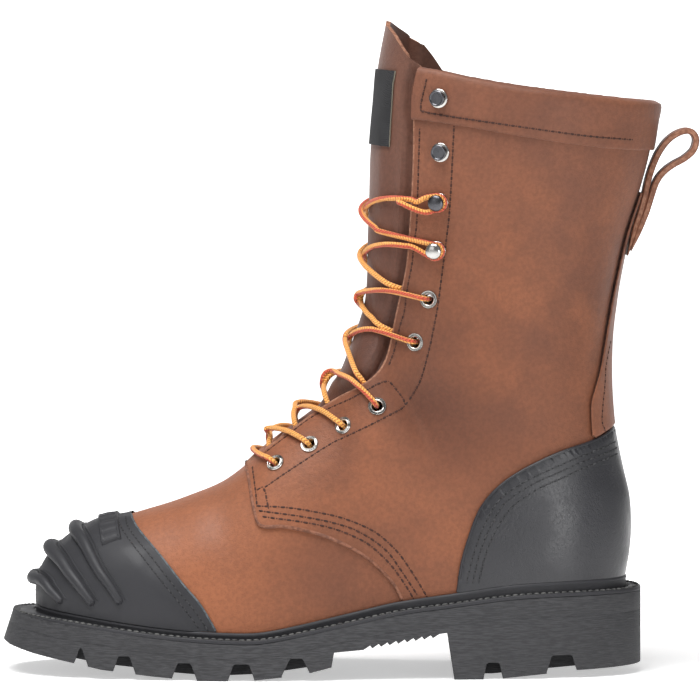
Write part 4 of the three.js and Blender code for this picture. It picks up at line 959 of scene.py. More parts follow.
def make_toe_ribs():
    parts = []
    for places, (start, end, height) in zip(TOE_RIBS, RIB_SIZES):
        line = side(places)
        points, radius = over_the_toe(line, start, end, height)
        parts.append(tube(points, radius, 20, 0.7)[:2])
        beside = shifted(line, np.linspace(start + 1.3, end + 0.9, len(line)))
        points, radius = over_the_toe(beside, 0.5, 0.35, 0.5)
        parts.append(tube(points, radius, 8, 0.8)[:2])
    obj = mesh_object("toe_bumper_ribs", *joined(parts), BLACK_RUBBER, merge=None)


def make_pad():
    """The plain raised pad over the top of the bumper."""
    front_low, rear_low, rear_top, front_top = side(BADGE)
    v = np.linspace(0, 1, 34)[:, None]
    low = front_low + (rear_low - front_low) * v
    top = crossing(low, front_top + (rear_top - front_top) * v)
    u = np.linspace(-1, 1, 141)
    place = between(top, low, (u ** 2)[None])
    border = np.minimum((1 - np.abs(u))[None] * 26, np.minimum(v, 1 - v) * 8.5)
    lift = cap_lift(place[..., 0], place[..., 1]) - 0.7 + 2.0 * smooth_steps(border, 0, 0.6)
    field = smooth_steps(border, 1.1, 1.4)
    bars = smooth_steps(np.sin(u * math.pi * 11), -0.2, 0.2)[None]
    lift = lift - field * (0.5 - 0.3 * bars)
    sign = np.broadcast_to(np.sign(u), place.shape[:2])
    points = on_form(place[..., 0], place[..., 1], sign, lift)[0].reshape(-1, 3)
    obj = mesh_object("toe_pad", points, grid_faces(34, 141), BLACK_RUBBER, merge=None)
    solidify(obj, 0.8)


def make_toe_cap():
    skin = form_skin(0.0, TOE_GIRTHS_END, 190, 74)
    skin = trimmed(skin, toe_cap_depth, lambda x, z: z - bead_top(x) - 0.2)
    obj = mesh_object("toe_bumper", *lifted(skin, cap_lift), BLACK_RUBBER)
    solidify(obj, 2.3)
    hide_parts("toe_cap")


def counter_lift(x, z):
    lift = QUARTER_STEP + CLEARANCE + COUNTER_THICKNESS + 0.5 * swell_of(x, z)
    return lift - edge_drop(counter_depth(x, z), 0.8, 0.6)


def make_counter():
    skin = form_skin(9.0, 27.0, 190, 56)
    skin = trimmed(skin, counter_depth, lambda x, z: z - bead_top(x) - 0.2)
    obj = mesh_object("counter_leather", *lifted(skin, counter_lift), BLACK_LEATHER)
    solidify(obj, COUNTER_THICKNESS - 0.1)
    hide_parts("heel_counter")


def edge_ribbon(name, line, lift, profile, look):
    """The cut edge along a line on both sides: its profile gives inset and height."""
    parts = []
    for sign in (-1.0, 1.0):
        kept = line[width_squared(*line.T, sign < 0) > 25]
        base = lift(*kept.T)
        rings = []
        for inset, height in profile:
            moved = shifted(kept, np.full(len(kept), inset))
            rings.append(on_form(*moved.T, sign, base + height)[0])
        points = np.stack(rings, axis=1)
        parts.append((points.reshape(-1, 3), ring_faces(*points.shape[:2])))
    obj = mesh_object(name, *joined(parts), look, merge=None, sharp_degrees=60)


# Profiles of the cut edges: inset from the edge and height over the leather
FRAYED_PROFILE = ((-0.35, -0.3), (-0.6, 0.4), (-0.55, 1.1), (-0.2, 1.6), (0.4, 1.68), (1.0, 1.1), (0.5, 0.2))
FACING_PROFILE = (
    (0.35, -2.0), (0.5, -0.6), (0.42, 0.6), (0.1, 1.25), (-0.35, 1.36), (-0.8, 1.0), (-0.6, -1.9),
)
BUMPER_PROFILE = ((0.3, 0.0), (0.42, 0.6), (0.3, 1.15), (-0.1, 1.34), (-0.5, 1.2), (-0.4, 0.3))
COUNTER_PROFILE = ((0.3, 0.0), (0.45, 0.9), (0.35, 1.7), (-0.1, 2.06), (-0.6, 2.0), (-0.5, 0.3))


def make_edges():
    def over_bead(edge, gap):
        line = spline(side(edge), 14)
        return line[line[:, 1] > bead_top(line[:, 0]) + gap]

    def over_quarter(x, z):
        return QUARTER_STEP + 0.5 * swell_of(x, z)

    facing = spline(side(FACING_EDGE), 14)
    facing = facing[above_collar(*facing.T) < -13]
    for name, line, lift, profile, look, slot in (
            ("quarter_cut_edge", over_bead(QUARTER_EDGE, 0.5), swell_of, FRAYED_PROFILE, FRAYED_EDGE,
             "brown_leather"),
            ("facing_cut_edge", facing, swell_of, FACING_PROFILE, RAW_EDGE, "brown_leather"),
            ("bumper_rear_edge", over_bead(TOE_CAP_EDGE, 0.3), swell_of, BUMPER_PROFILE, RUBBER_EDGE,
             "black_rubber"),
            ("counter_cut_edge", over_bead(COUNTER_EDGE, 0.3), over_quarter, COUNTER_PROFILE, BLACK_LEATHER,
             "black_leather")):
        edge_ribbon(name, line, lift, profile, look)


# Backstay: a strip up the back seam, wider towards the heel counter
BACKSTAY_HALF = (
    (0.36, 25.0), (0.423, 25.0), (0.454, 23.0), (0.5, 19.0), (0.56, 15.0), (0.64, 12.0), (0.8, 10.0),
)
backstay_half = curve_of(BACKSTAY_HALF)


def make_backstay():
    rows = 170
    position = np.linspace(24.45, 29.15, rows)
    ridge_point, end, _ = sight_ends(position)
    half = backstay_half(end[:, 1] / COLLAR_HEIGHT)
    share = np.linspace(0, 0.5, 500)
    probe = between(end, ridge_point, share[None])
    wide = np.sqrt(np.maximum(width_squared(probe[..., 0], probe[..., 1], True), 0))
    reach = share[np.argmax(wide >= half[:, None], axis=1)]
    side_steps = np.concatenate([np.linspace(0, 0.95, 22), [0.97, 0.985, 0.995, 1.0]])
    across = np.concatenate([-side_steps[::-1], side_steps[1:]])
    place = between(end, ridge_point, reach[:, None] * across[None] ** 2)
    x, z = place[..., 0], place[..., 1]
    inset = (1 - np.abs(across))[None] * half[:, None]
    lift = strap_lift(x, z) - edge_drop(inset, 0.8, 0.5)
    lift = lift - 2.0 * smooth_steps(counter_depth(x, z), -1.4, -0.3)
    sign = np.broadcast_to(np.sign(across), x.shape)
    points = on_form(x, z, sign, lift)[0].reshape(-1, 3)
    obj = mesh_object("backstay_strip", points, grid_faces(rows, len(across)), LEATHER, merge=None)
    solidify(obj, STRAP_THICKNESS - 0.1, DARK_EDGE, RAW_EDGE)
    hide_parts("backstay")


# Collar band: folded over the top edge, from one facing round the back to the other
BAND_STEPS = (
    (1.0, 1.5), (1.0, 2.6), (0.985, 2.95), (0.95, 3.0), (0.8, 3.0), (0.6, 3.0), (0.4, 3.05),
    (0.25, 3.1), (0.13, 3.0), (0.06, 2.5), (0.02, 1.5), (0.0, 0.2), (0.02, -1.2), (0.06, -2.3), (0.13, -3.0),
    (0.25, -3.4), (0.45, -3.5), (0.46, -2.9), (0.25, -2.8), (0.14, -2.5), (0.1, -0.4), (0.14, 1.3),
)


def facing_share(position):
    """Share of each line of sight that lies in front of the facing."""
    ridge_point, end, _ = sight_ends(position)
    share = np.linspace(0, 0.5, 260)
    place = between(ridge_point, end, share[None])
    inside = throat_depth(place[..., 0], place[..., 1]) > 0
    last = inside.shape[1] - 1 - np.argmax(inside[:, ::-1], axis=1)
    return np.where(inside.any(axis=1), share[last], 0)


def column_rows(depth, turn, first, last):
    """Row positions where columns of the skin cross the edge of a zone."""
    position = np.linspace(first, last, 420)
    ridge_point, end, _ = sight_ends(position)
    share = (1 - np.cos(math.pi * np.abs(turn))) / 2
    place = between(ridge_point, end, share[None])
    outside = depth(place[..., 0], place[..., 1]) > 0
    return position[np.argmax(outside, axis=0)]


def band_turns(position, across):
    """Turn of a band's column: across runs from 0 at the facing to 1 at the back seam."""
    open_turn = np.arccos(1 - 2 * facing_share(position)) / math.pi
    return open_turn + (1 - open_turn) * across


def make_collar_band():
    half = 90
    across = np.concatenate([np.linspace(0, 1, half + 1), np.linspace(1, 0, half + 1)[1:]])
    sign = np.concatenate([-np.ones(half + 1), np.ones(half)])
    guess = band_turns(np.full(len(across), 31.0), across)
    top = column_rows(above_collar, guess, 29.0, 32.0)
    low_zone = zone(band_line, [(FAR, side_z(0.86)), (FAR, FAR), (side_x(0.37), FAR)])
    low = column_rows(low_zone, guess, 28.0, 32.0)
    rows = []
    for share, lift in BAND_STEPS:
        position = top + (low - top) * share
        ridge_point, end, _ = sight_ends(position)
        turn = band_turns(position, across)
        at = ridge_point + (end - ridge_point) * ((1 - np.cos(math.pi * turn)) / 2)[:, None]
        soft = 0.35 * np.sin(across * 9) * np.sin(sign * 2 + across * 4)
        flare = across ** 2 * 0.9 * (1 - float(smooth_steps(share, 0.02, 0.5)))
        placed, _ = on_form(*at.T, sign, lift + (soft + flare if lift > 2.4 else 0))
        rows.append(placed)
    points = np.array(rows)
    count, width = points.shape[:2]
    faces = []
    for i in range(count):
        for j in range(width - 1):
            a, b = i * width + j, ((i + 1) % count) * width + j
            faces.append((a, a + 1, b + 1, b))
    faces.append([i * width for i in range(count)])
    faces.append([i * width + width - 1 for i in range(count)][::-1])
    obj = mesh_object("collar_fold", points.reshape(-1, 3), faces, LEATHER, merge=0.005, sharp_degrees=50)
    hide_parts("collar_band")
    return obj


# Tongue: it lies under the facings, and swells forward between them
TONGUE_FOLDS = (
    (((0.385, 0.93), (0.395, 0.8), (0.4, 0.68), (0.415, 0.6)), 3.6, -1.1),
    (((0.405, 0.97), (0.412, 0.85), (0.416, 0.72)), 3.0, 0.7),
    (((0.375, 1.03), (0.376, 0.95), (0.37, 0.88)), 3.0, -0.8),
)
tongue_folds = [(spline(side(places)), width, rise) for places, width, rise in TONGUE_FOLDS]
TONGUE_ROOT_ROW, TONGUE_TOP_ROW = 8.2, 31.95
LABEL_ROWS = (29.6, 30.9)
FAR_TONGUE_TOP = (
    (0.44, 1.092), (0.411, 1.081), (0.39, 1.067), (0.371, 1.054), (0.349, 1.032), (0.33, 1.009),
    (0.3, 0.965), (0.28, 0.93),
)
above_far_tongue = zone(spline(side(FAR_TONGUE_TOP)), [(FAR, side_z(0.9)), (FAR, FAR), (-FAR, FAR)])


def tongue_lift(x, z):
    clear = np.maximum(throat_depth(x, z), 0)
    swell = (TONGUE_BULGE + VAMP_WALL + TONGUE_CLEARANCE) * smooth_steps(clear, 2.2, 6)
    lift = swell - VAMP_WALL - TONGUE_CLEARANCE
    for line, width, rise in tongue_folds:
        gap, where = distance_to_line(x, z, line)
        fade = np.sin(math.pi * np.clip(where, 0.03, 0.97)) ** 0.5
        lift = lift + rise * np.exp(-(gap / width) ** 2 * 2) * fade
    return lift


def tongue_grid(first, last, row_count, columns, reach_share):
    position = np.linspace(first, last, row_count)
    ridge_point, end, _ = sight_ends(position)
    length = np.linalg.norm(end - ridge_point, axis=1)
    reach = facing_share(position) + TONGUE_TUCK / length
    across = np.linspace(-1, 1, 2 * columns + 1) * reach_share
    place = between(ridge_point, end, reach[:, None] * across[None] ** 2)
    sign = np.broadcast_to(np.sign(across), place.shape[:2])
    points = np.concatenate([place, sign[..., None]], axis=-1).reshape(-1, 3)
    return points, grid_faces(row_count, 2 * columns + 1, split=True)


def make_tongue():
    skin = tongue_grid(TONGUE_ROOT_ROW, TONGUE_TOP_ROW, 240, 34, 1.0)
    skin = cut(skin, lambda p: -np.where(p[:, 2] > 0, above_far_tongue(*p.T[:2]), above_tongue(*p.T[:2])))
    obj = mesh_object("tongue_leather", *lifted(skin, tongue_lift), TONGUE_LEATHER)
    solidify(obj, 2.2, TONGUE_LEATHER, RAW_EDGE)
    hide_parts("tongue")


def make_label():
    skin = tongue_grid(*LABEL_ROWS, 34, 12, 0.54)
    obj = mesh_object("tongue_label_plain", *lifted(skin, lambda x, z: tongue_lift(x, z) + 1.1), LABEL_WEAVE)
    solidify(obj, 0.7, LABEL_WEAVE, LABEL_EDGE)
    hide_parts("tongue_label")


# Small repeated pieces: each template lies along X with Z up, in millimetres
def lathe(profile, sides):
    """Quads of a turned shape about Z, from its radii and heights."""
    angle = np.arange(sides) * 2 * math.pi / sides
    rows = []
    for radius, height in profile:
        circle = radius * np.cos(angle), radius * np.sin(angle)
        rows.append(np.stack([*circle, np.full(sides, height)], axis=1))
    return np.concatenate(rows), ring_faces(len(profile), sides)


def capsule(length, radius, sides=6):
    """A stitch: a short rounded rod along X, a little flat."""
    shares = np.array([0.03, 0.6, 0.95, 1.0, 0.95, 0.6, 0.03])
    place = np.array([-1, -0.88, -0.5, 0, 0.5, 0.88, 1.0]) * length / 2
    points, faces = lathe(list(zip(shares * radius, place)), sides)
    turned = np.stack([points[:, 2], points[:, 0], points[:, 1] * 0.75], axis=1)
    return turned, faces


def repeated(template, origins, along, up):
    points, faces = template
    across = np.cross(up, along)
    placed = origins[:, None] + points[None, :, 0:1] * along[:, None]
    placed = placed + points[None, :, 1:2] * across[:, None] + points[None, :, 2:3] * up[:, None]
    offset = (np.arange(len(origins)) * len(points))[:, None, None]
    return placed.reshape(-1, 3), (faces[None] + offset).reshape(-1, faces.shape[1])


def seam_places(line, sign, lift, pitch):
    """Even places along a line on the leather, with its direction and the outward direction."""
    fine, normal = on_form(*line.T, sign, lift(*line.T))
    steps = lengths_along(fine)
    marks = np.arange(pitch / 2, steps[-1], pitch)
    origins, up = placed_at(marks, steps, fine), placed_at(marks, steps, normal)
    along = unit(placed_at(marks + 0.3, steps, fine) - placed_at(marks - 0.3, steps, fine))
    return origins, along, square_to(up, along)


def sew(name, rows, lift, thread, holes_look, slot, pitch, length, radius=0.5, hole=0.5):
    """Seams on both sides: threads, and between them dark discs that paint the shade of the pinholes."""
    stitch = capsule(length, radius)
    hole_points, hole_faces = lathe([(0.02, 0.13), (hole, 0.1), (hole * 1.1, -0.25), (0.02, -0.3)], 8)
    hole_shape = (hole_points * np.array([0.9, 0.7, 1.0]), hole_faces)
    threads, holes = [], []
    for places in rows:
        line = spline(side(places), 24)
        for sign in (-1, 1):
            kept = line[width_squared(*line.T, sign < 0) > 90]
            origins, along, up = seam_places(kept, sign, lift, pitch)
            threads.append((origins - up * 0.02, along, up))
            holes.append((origins + along * pitch / 2, along, up))
    for label, template, sets, look in (
            ("thread", stitch, threads, thread), ("pinholes", hole_shape, holes, holes_look)):
        together = [np.concatenate([entry[k] for entry in sets]) for k in range(3)]
        obj = mesh_object(f"{name}_{label}", *repeated(template, *together), look, merge=None)


QUARTER_SEAMS = (
    ((0.62, 0.265), (0.55, 0.257), (0.5, 0.247), (0.456, 0.23), (0.431, 0.214), (0.401, 0.185),
     (0.377, 0.152), (0.367, 0.136)),
    ((0.626, 0.274), (0.553, 0.266), (0.495, 0.255), (0.453, 0.24), (0.411, 0.211), (0.384, 0.176),
     (0.357, 0.136)),
    ((0.629, 0.281), (0.579, 0.28), (0.533, 0.274), (0.481, 0.263), (0.431, 0.242), (0.394, 0.211),
     (0.369, 0.178), (0.345, 0.14)),
    ((0.634, 0.341), (0.629, 0.308), (0.626, 0.28)),
    ((0.629, 0.304), (0.615, 0.308), (0.608, 0.281)),
)
FACING_SEAMS = (
    ((0.619, 0.358), (0.581, 0.387), (0.533, 0.422), (0.478, 0.45), (0.446, 0.468), (0.424, 0.481),
     (0.407, 0.486), (0.394, 0.474), (0.382, 0.458), (0.38, 0.447)),
    ((0.615, 0.309), (0.574, 0.337), (0.506, 0.38), (0.48, 0.393), (0.424, 0.421), (0.39, 0.439),
     (0.38, 0.447)),
    ((0.38, 0.447), (0.367, 0.465), (0.351, 0.49), (0.337, 0.534), (0.327, 0.582), (0.321, 0.619),
     (0.317, 0.652), (0.311, 0.698), (0.306, 0.738), (0.303, 0.768), (0.3, 0.817), (0.296, 0.9)),
    ((0.406, 0.51), (0.394, 0.538), (0.384, 0.578), (0.377, 0.602), (0.372, 0.641), (0.365, 0.677),
     (0.363, 0.697), (0.357, 0.748), (0.355, 0.807), (0.352, 0.9)),
)
BAND_SEAMS = (
    ((0.337, 0.985), (0.347, 0.937), (0.337, 0.928), (0.267, 0.917), (0.181, 0.905), (0.079, 0.891),
     (0.0, 0.884)),
)
CAP_SEAMS = (
    ((0.853, 0.255), (0.844, 0.237), (0.805, 0.196), (0.765, 0.15), (0.733, 0.114), (0.712, 0.085)),
    ((0.866, 0.25), (0.855, 0.234), (0.818, 0.193), (0.777, 0.147), (0.745, 0.111), (0.725, 0.085)),
)
COUNTER_SEAMS = (
    ((0.276, 0.155), (0.273, 0.17), (0.263, 0.208), (0.246, 0.252), (0.219, 0.295), (0.177, 0.324),
     (0.132, 0.345), (0.086, 0.363), (0.043, 0.377), (0.01, 0.386)),
    ((0.266, 0.155), (0.263, 0.17), (0.253, 0.208), (0.236, 0.249), (0.211, 0.288), (0.169, 0.317),
     (0.125, 0.337), (0.08, 0.355), (0.036, 0.368), (0.01, 0.375)),
    ((0.256, 0.155), (0.253, 0.17), (0.243, 0.206), (0.226, 0.244), (0.201, 0.28), (0.16, 0.309),
     (0.118, 0.328), (0.073, 0.347), (0.029, 0.36), (0.01, 0.364)),
)
BACKSTAY_SEAM = (
    ((0.029, 0.6), (0.04, 0.55), (0.048, 0.51), (0.05, 0.477), (0.053, 0.444), (0.054, 0.419),
     (0.05, 0.405)),
)


def strap_lift(x, z):
    return QUARTER_STEP + CLEARANCE + STRAP_THICKNESS + 0.5 * swell_of(x, z)


def make_seams():
    """Last two numbers of a seam: the stitches' pitch and length."""
    brown = (BROWN_THREAD, PINHOLE, "brown_leather")
    sew("quarter_seams", QUARTER_SEAMS, leather_lift, *brown, 4.0, 2.4)
    sew("facing_seams", FACING_SEAMS, leather_lift, *brown, 3.3, 1.9)
    sew("band_seam", BAND_SEAMS, lambda x, z: np.full(np.shape(x), 3.0), *brown, 3.2, 1.9)
    sew("backstay_seam", BACKSTAY_SEAM, strap_lift, *brown, 2.9, 1.7)
    sew("bumper_seams", CAP_SEAMS, cap_lift, DARK_THREAD, DARK_PINHOLE, "black_rubber", 3.0, 1.8, 0.45, 0.5)
    sew("counter_seams", COUNTER_SEAMS, counter_lift, DARK_THREAD, DARK_PINHOLE, "black_leather", 3.2, 2.1)


# Profiles of the metal pieces: radius and height over the leather
EYELET_PROFILE = (
    (2.45, -3.4), (2.45, 0.3), (2.6, 0.72), (2.9, 0.9), (3.2, 0.78), (3.35, 0.42), (3.55, 0.3),
    (3.75, 0.42), (3.9, 0.68), (4.15, 0.72), (4.36, 0.45), (4.4, 0.1), (4.38, -0.1), (3.3, -0.2),
    (2.9, -0.4), (2.75, -3.4), (2.45, -3.4),
)
HOOK_FOOT = (
    (0.02, -0.1), (4.2, -0.1), (4.6, 0.2), (4.5, 0.6), (4.0, 0.95), (3.3, 1.0), (3.1, 0.8), (2.6, 0.75),
)
TALL_NECK = ((2.3, 1.05), (1.9, 1.5), (1.75, 2.4), (1.75, 4.3), (2.1, 4.8), (0.02, 4.8))
LOW_NECK = ((2.0, 1.0), (1.8, 1.3), (1.75, 2.6), (0.02, 2.6))
DOMED_HEAD = (
    (0.02, 4.4), (2.8, 4.4), (3.7, 4.75), (3.95, 5.2), (3.9, 5.7), (3.4, 6.3), (2.5, 6.7), (1.2, 6.9),
    (0.02, 6.95),
)
FLAT_HEAD = (
    (0.02, 1.9), (2.8, 1.9), (3.6, 2.2), (3.8, 2.7), (3.75, 3.2), (3.45, 3.5), (3.1, 3.45),
    (2.8, 3.15), (1.2, 3.1), (0.02, 3.1),
)
EYELET_SIDES, HOOK_SIDES = 40, 36


def make_hardware():
    eyelet = lathe(EYELET_PROFILE, EYELET_SIDES)
    shapes = (HOOK_FOOT + TALL_NECK, HOOK_FOOT + LOW_NECK, DOMED_HEAD, FLAT_HEAD)
    base, low_base, head, flat_head = (lathe(shape, HOOK_SIDES) for shape in shapes)

    def stood(template, places, lift):
        spots = side(places)
        origins, normals = [], []
        for sign in (-1, 1):
            origin, normal = on_form(*spots.T, sign, lift + swell_of(*spots.T))
            origins.append(origin)
            normals.append(normal)
        origin, normal = np.concatenate(origins), np.concatenate(normals)
        along = unit(np.cross(normal, np.array([0.0, 0.0, 1.0])))
        return repeated(template, origin, along, normal)

    rings = mesh_object("eyelet_rings", *stood(eyelet, EYELETS, QUARTER_STEP), GUNMETAL, merge=None)
    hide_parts(*[f"eyelet_{name}_{i + 1}" for name in ("lateral", "medial") for i in range(6)])
    steps = QUARTER_STEP + np.array([0, 0, 0, BAND_THICKNESS + CLEARANCE])
    for name, template, first, last, look in (
            ("hook_stands", base, 0, 2, GUNMETAL), ("hook_low_stands", low_base, 2, 4, GUNMETAL),
            ("hook_bright_domes", head, 0, 1, GUNMETAL), ("hook_dark_domes", head, 1, 2, DARK_METAL),
            ("hook_plates", flat_head, 2, 4, DARK_METAL)):
        piece = mesh_object(name, *stood(template, HOOKS[first:last], steps[first:last]), look, merge=None)
        if name.endswith("stands"):
            for side_name in ("lateral", "medial"):
                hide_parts(*[f"hook_{side_name}_{i + 1}" for i in range(first, last)])


# Laces
lace_places = side(EYELETS + HOOKS[:2])
crown_places = side(LACE_CROWNS)
inner_places = side([(along - 0.12, up - 0.05) for along, up in LACE_CROWNS])
lace_crowns = crossing(inner_places, crown_places + np.array([-14.0, 8.0]))


def lace_spot(level, turn):
    """Place in the side view of a strand, turn -1 on its first side and 1 on its last."""
    low = np.clip(np.floor(level).astype(int), 0, len(lace_places) - 1)
    high = np.minimum(low + 1, len(lace_places) - 1)
    share = (level - low)[:, None]
    place = lace_places[low] * (1 - share) + lace_places[high] * share
    crown = lace_crowns[low] * (1 - share) + lace_crowns[high] * share
    return crown + (place - crown) * (turn ** 2)[:, None]


def lace_route(level, first_sign, over, under_start=True, to_hook=False):
    """Points of one strand over the tongue, from under one facing to the other side's next place."""
    turn = np.linspace(-1, 1, 81)
    climb = level + smooth_steps(turn, -1, 0.75) if under_start else np.full(81, float(level))
    spot = lace_spot(climb, turn)
    open_depth = throat_depth(*spot.T)
    sign = np.where(turn < 0, first_sign, -first_sign)
    on_tongue = TONGUE_BULGE + LACE_RADIUS + 0.1
    lift = np.full(81, on_tongue) + over * 2.4 * np.exp(-(turn / 0.3) ** 2)
    if under_start:
        rise = smooth_steps(open_depth, -1.5, 5.0)
        lift = np.where(turn < 0, -2.3 + (lift + 2.3) * rise, lift)
        keep = (turn > -0.25) | (open_depth > -1.5)
    else:
        keep = np.abs(turn) < 0.9
    keep &= turn < (0.84 if to_hook else 0.9)
    placed, _ = on_form(*spot.T, sign, lift)
    return placed[keep][::3]


def into_eyelet(index, sign, back=False):
    """The way down through an eyelet, from its rim."""
    spot = lace_places[index]
    toward = unit(lace_crowns[index] - spot)
    rows = ((4.6, 3.3), (3.0, 3.2), (1.6, 2.3), (0.9, 0.8), (0.7, -1.0), (0.7, -3.2))
    points = [on_form(*(spot + toward * away), sign, lift)[0] for away, lift in rows]
    return np.array(points[::-1] if back else points)


def round_hook(index, sign, start, stop, lift=3.9):
    spot = lace_places[index]
    angles = np.radians(np.linspace(start, stop, 9))
    around = spot + 3.5 * np.stack([np.cos(angles), np.sin(angles)], axis=1)
    return on_form(*around.T, sign, lift + QUARTER_STEP - 1.2)[0]


def tube(points, radius, sides=14, spacing=0.7):
    """A round cord along points, with its length and the way round as coordinates for its braid."""
    sizes = np.broadcast_to(np.asarray(radius, float), len(points))
    fine = spline(np.column_stack([points, sizes]), 12)
    steps = lengths_along(fine[:, :3])
    count = int(steps[-1] / spacing)
    marks = np.linspace(0, steps[-1], count)
    marks[1], marks[-2] = marks[1] * 0.3, marks[-1] - marks[1] * 0.3
    centre = placed_at(marks, steps, fine[:, :3])
    size = np.interp(marks, steps, fine[:, 3])
    for _ in range(3):
        centre[2:-2] = (centre[1:-3] + 2 * centre[2:-2] + centre[3:-1]) / 4
    end_gap = np.minimum(marks, steps[-1] - marks) / size
    size = size * np.maximum(np.sqrt(1 - np.clip(1 - end_gap, 0, 1) ** 2), 0.04)
    ahead = unit(np.gradient(centre, axis=0))
    side_way = np.cross(ahead[0], [0, 0, 1])
    frames = []
    for k in range(count):
        side_way = unit(side_way - ahead[k] * (side_way @ ahead[k]))
        frames.append(side_way)
    frames = np.array(frames)
    other = np.cross(ahead, frames)
    angle = np.arange(sides) * 2 * math.pi / sides
    ring = frames[:, None] * np.cos(angle)[None, :, None] + other[:, None] * np.sin(angle)[None, :, None]
    points = (centre[:, None] + ring * size[:, None, None]).reshape(-1, 3)
    corners = ((0, 0), (0, 1), (1, 1), (1, 0))
    quad_starts = [(i, j) for i in range(count - 1) for j in range(sides)]
    places = [(marks[i + a], (j + b) / sides) for i, j in quad_starts for a, b in corners]
    return points, ring_faces(count, sides), places


def make_laces():
    strands = []
    strands.append(np.concatenate([
        into_eyelet(0, -1.0, back=True), lace_route(0, -1.0, 0, under_start=False), into_eyelet(0, 1.0)]))
    for level in range(5):
        for first_sign in (-1.0, 1.0):
            over = 1 if (first_sign > 0) == (level % 2 == 0) else 0
            route = lace_route(level, first_sign, over)
            strands.append(np.concatenate([route, into_eyelet(level + 1, -first_sign)]))
    for first_sign in (-1.0, 1.0):
        over = 1 if first_sign < 0 else 0
        last = lace_places[7]
        tail = np.array([(-4.5, -4.6), (-9.0, -3.6), (-13.0, -1.4), (-17.0, 0.6)]) + last
        tail_lift = np.array([3.9, 4.6, 5.9, 6.0])
        ending = on_form(*tail.T, first_sign, tail_lift)[0]
        near = np.array([(-9.5, 0.2), (-5.5, 2.4)]) + last
        arriving = on_form(*near.T, first_sign, np.array([3.4, 3.8]))[0]
        strands.append(np.concatenate([
            lace_route(5, first_sign, over, to_hook=True), round_hook(6, -first_sign, -110, 110),
            lace_route(6, -first_sign, 1 - over, to_hook=True)[4:], arriving,
            round_hook(7, first_sign, 100, -110), ending]))
    tubes = [tube(strand, LACE_RADIUS) for strand in strands]
    obj = mesh_object("boot_laces", *joined([made[:2] for made in tubes]), CORD, merge=None)
    layer = obj.data.uv_layers.new(name="braid")
    layer.data.foreach_set("uv", np.concatenate([made[2] for made in tubes]).ravel())
    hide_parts("lace_bar", *[f"lace_crossing_{i + 1}" for i in range(7)])


# Pull loop: one strap up the back, over and down again
LOOP_PATH = (
    (0.0, 0.69), (-0.008, 0.717), (-0.016, 0.744), (-0.022, 0.761), (-0.029, 0.787), (-0.035, 0.814),
    (-0.043, 0.839), (-0.054, 0.862), (-0.07, 0.882), (-0.09, 0.894), (-0.107, 0.895), (-0.116, 0.883),
    (-0.112, 0.865), (-0.097, 0.851), (-0.077, 0.84), (-0.061, 0.828), (-0.049, 0.812), (-0.04, 0.787),
    (-0.033, 0.765), (-0.025, 0.745), (-0.015, 0.72), (-0.006, 0.698),
)


def make_pull_loop():
    path = spline(side(LOOP_PATH), 8)
    ahead = unit(np.gradient(path, axis=0))
    out = np.stack([ahead[:, 1], -ahead[:, 0]], axis=1)
    half, thick = LOOP_WIDTH / 2, LOOP_HALF_THICKNESS
    ring = ((-half, -thick * 0.6), (-half, thick * 0.6), (-half + 0.5, thick), (-half * 0.5, thick * 1.04),
            (0, thick * 1.06), (half * 0.5, thick * 1.04), (half - 0.5, thick), (half, thick * 0.6),
            (half, -thick * 0.6), (half - 0.5, -thick), (0, -thick * 0.96), (-half + 0.5, -thick))
    count = len(ring)
    points = []
    taper = smooth_steps(np.minimum(np.arange(len(path)), np.arange(len(path))[::-1]), -6, 16)
    for place, way, size in zip(path, out, taper):
        for across, lift in ring:
            points.append((place[0] + way[0] * lift * size, across, place[1] + way[1] * lift * size))
    faces = list(ring_faces(len(path), count))
    last = (len(path) - 1) * count
    faces.append(list(range(count))[::-1])
    faces.append(list(range(last, last + count)))
    obj = mesh_object("pull_strap", points, faces, LEATHER, sharp_degrees=40)
    obj.data.materials.append(RAW_EDGE)
    for face in obj.data.polygons:
        if abs(face.normal.y) > 0.9:
            face.material_index = 1
    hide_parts("pull_loop")


# Sole
def plan_outline(level, steps):
    seat_x, ball_x, tip_x = (float(side_x(along)) for along in (0.13, 0.93, 1.02))
    inside = np.array([(seat_x, float(level(seat_x))), (ball_x, float(level(ball_x)))])
    outside = np.array([(130.0, float(level(UPPER_BACK))), (tip_x, float(level(tip_x)))])
    heel, toe = crossing(inside, outside)[:, 0] + np.array([-0.02, 0.02])
    turn = np.arange(steps + 1) * math.pi / steps
    x = heel + (toe - heel) * (1 - np.cos(turn)) / 2
    z = level(x)
    medial, lateral = (on_form(x, z, sign)[0][:, :2] for sign in (1, -1))
    return np.concatenate([medial, lateral[1:-1][::-1]])


def outward(outline):
    before, after = np.roll(outline, 1, axis=0), np.roll(outline, -1, axis=0)
    out = np.stack([after[:, 1] - before[:, 1], before[:, 0] - after[:, 0]], axis=1)
    return unit(out)


def growth(out, toe_growth, side_growth, heel_growth):
    end = np.where(out[:, 0] < 0, toe_growth, heel_growth)
    return side_growth + (end - side_growth) * out[:, 0] ** 2


def sole_lean(z):
    return TOE_FLARE * (TOE_SOLE_MIDDLE - z) / TOE_SOLE_THICKNESS


PLAN_STEPS = 84
last_outline = plan_outline(lambda x: sole_top(x) + 1, PLAN_STEPS)
last_out = outward(last_outline)


def sole_edge(z):
    """The sole's outline in plan at a height."""
    grown = growth(last_out, TOE_MARGIN + sole_lean(z), SIDE_MARGIN, HEEL_MARGIN)
    return last_outline + last_out * grown[:, None]


def solid(name, points, faces):
    """A plain closed mesh, for cutting and being cut."""
    obj = plain_object(name, points, faces)
    work = bmesh.new()
    work.from_mesh(obj.data)
    bmesh.ops.recalc_face_normals(work, faces=work.faces)
    bmesh.ops.triangulate(work, faces=[face for face in work.faces if len(face.verts) > 4])
    work.to_mesh(obj.data)
    work.free()
    return obj


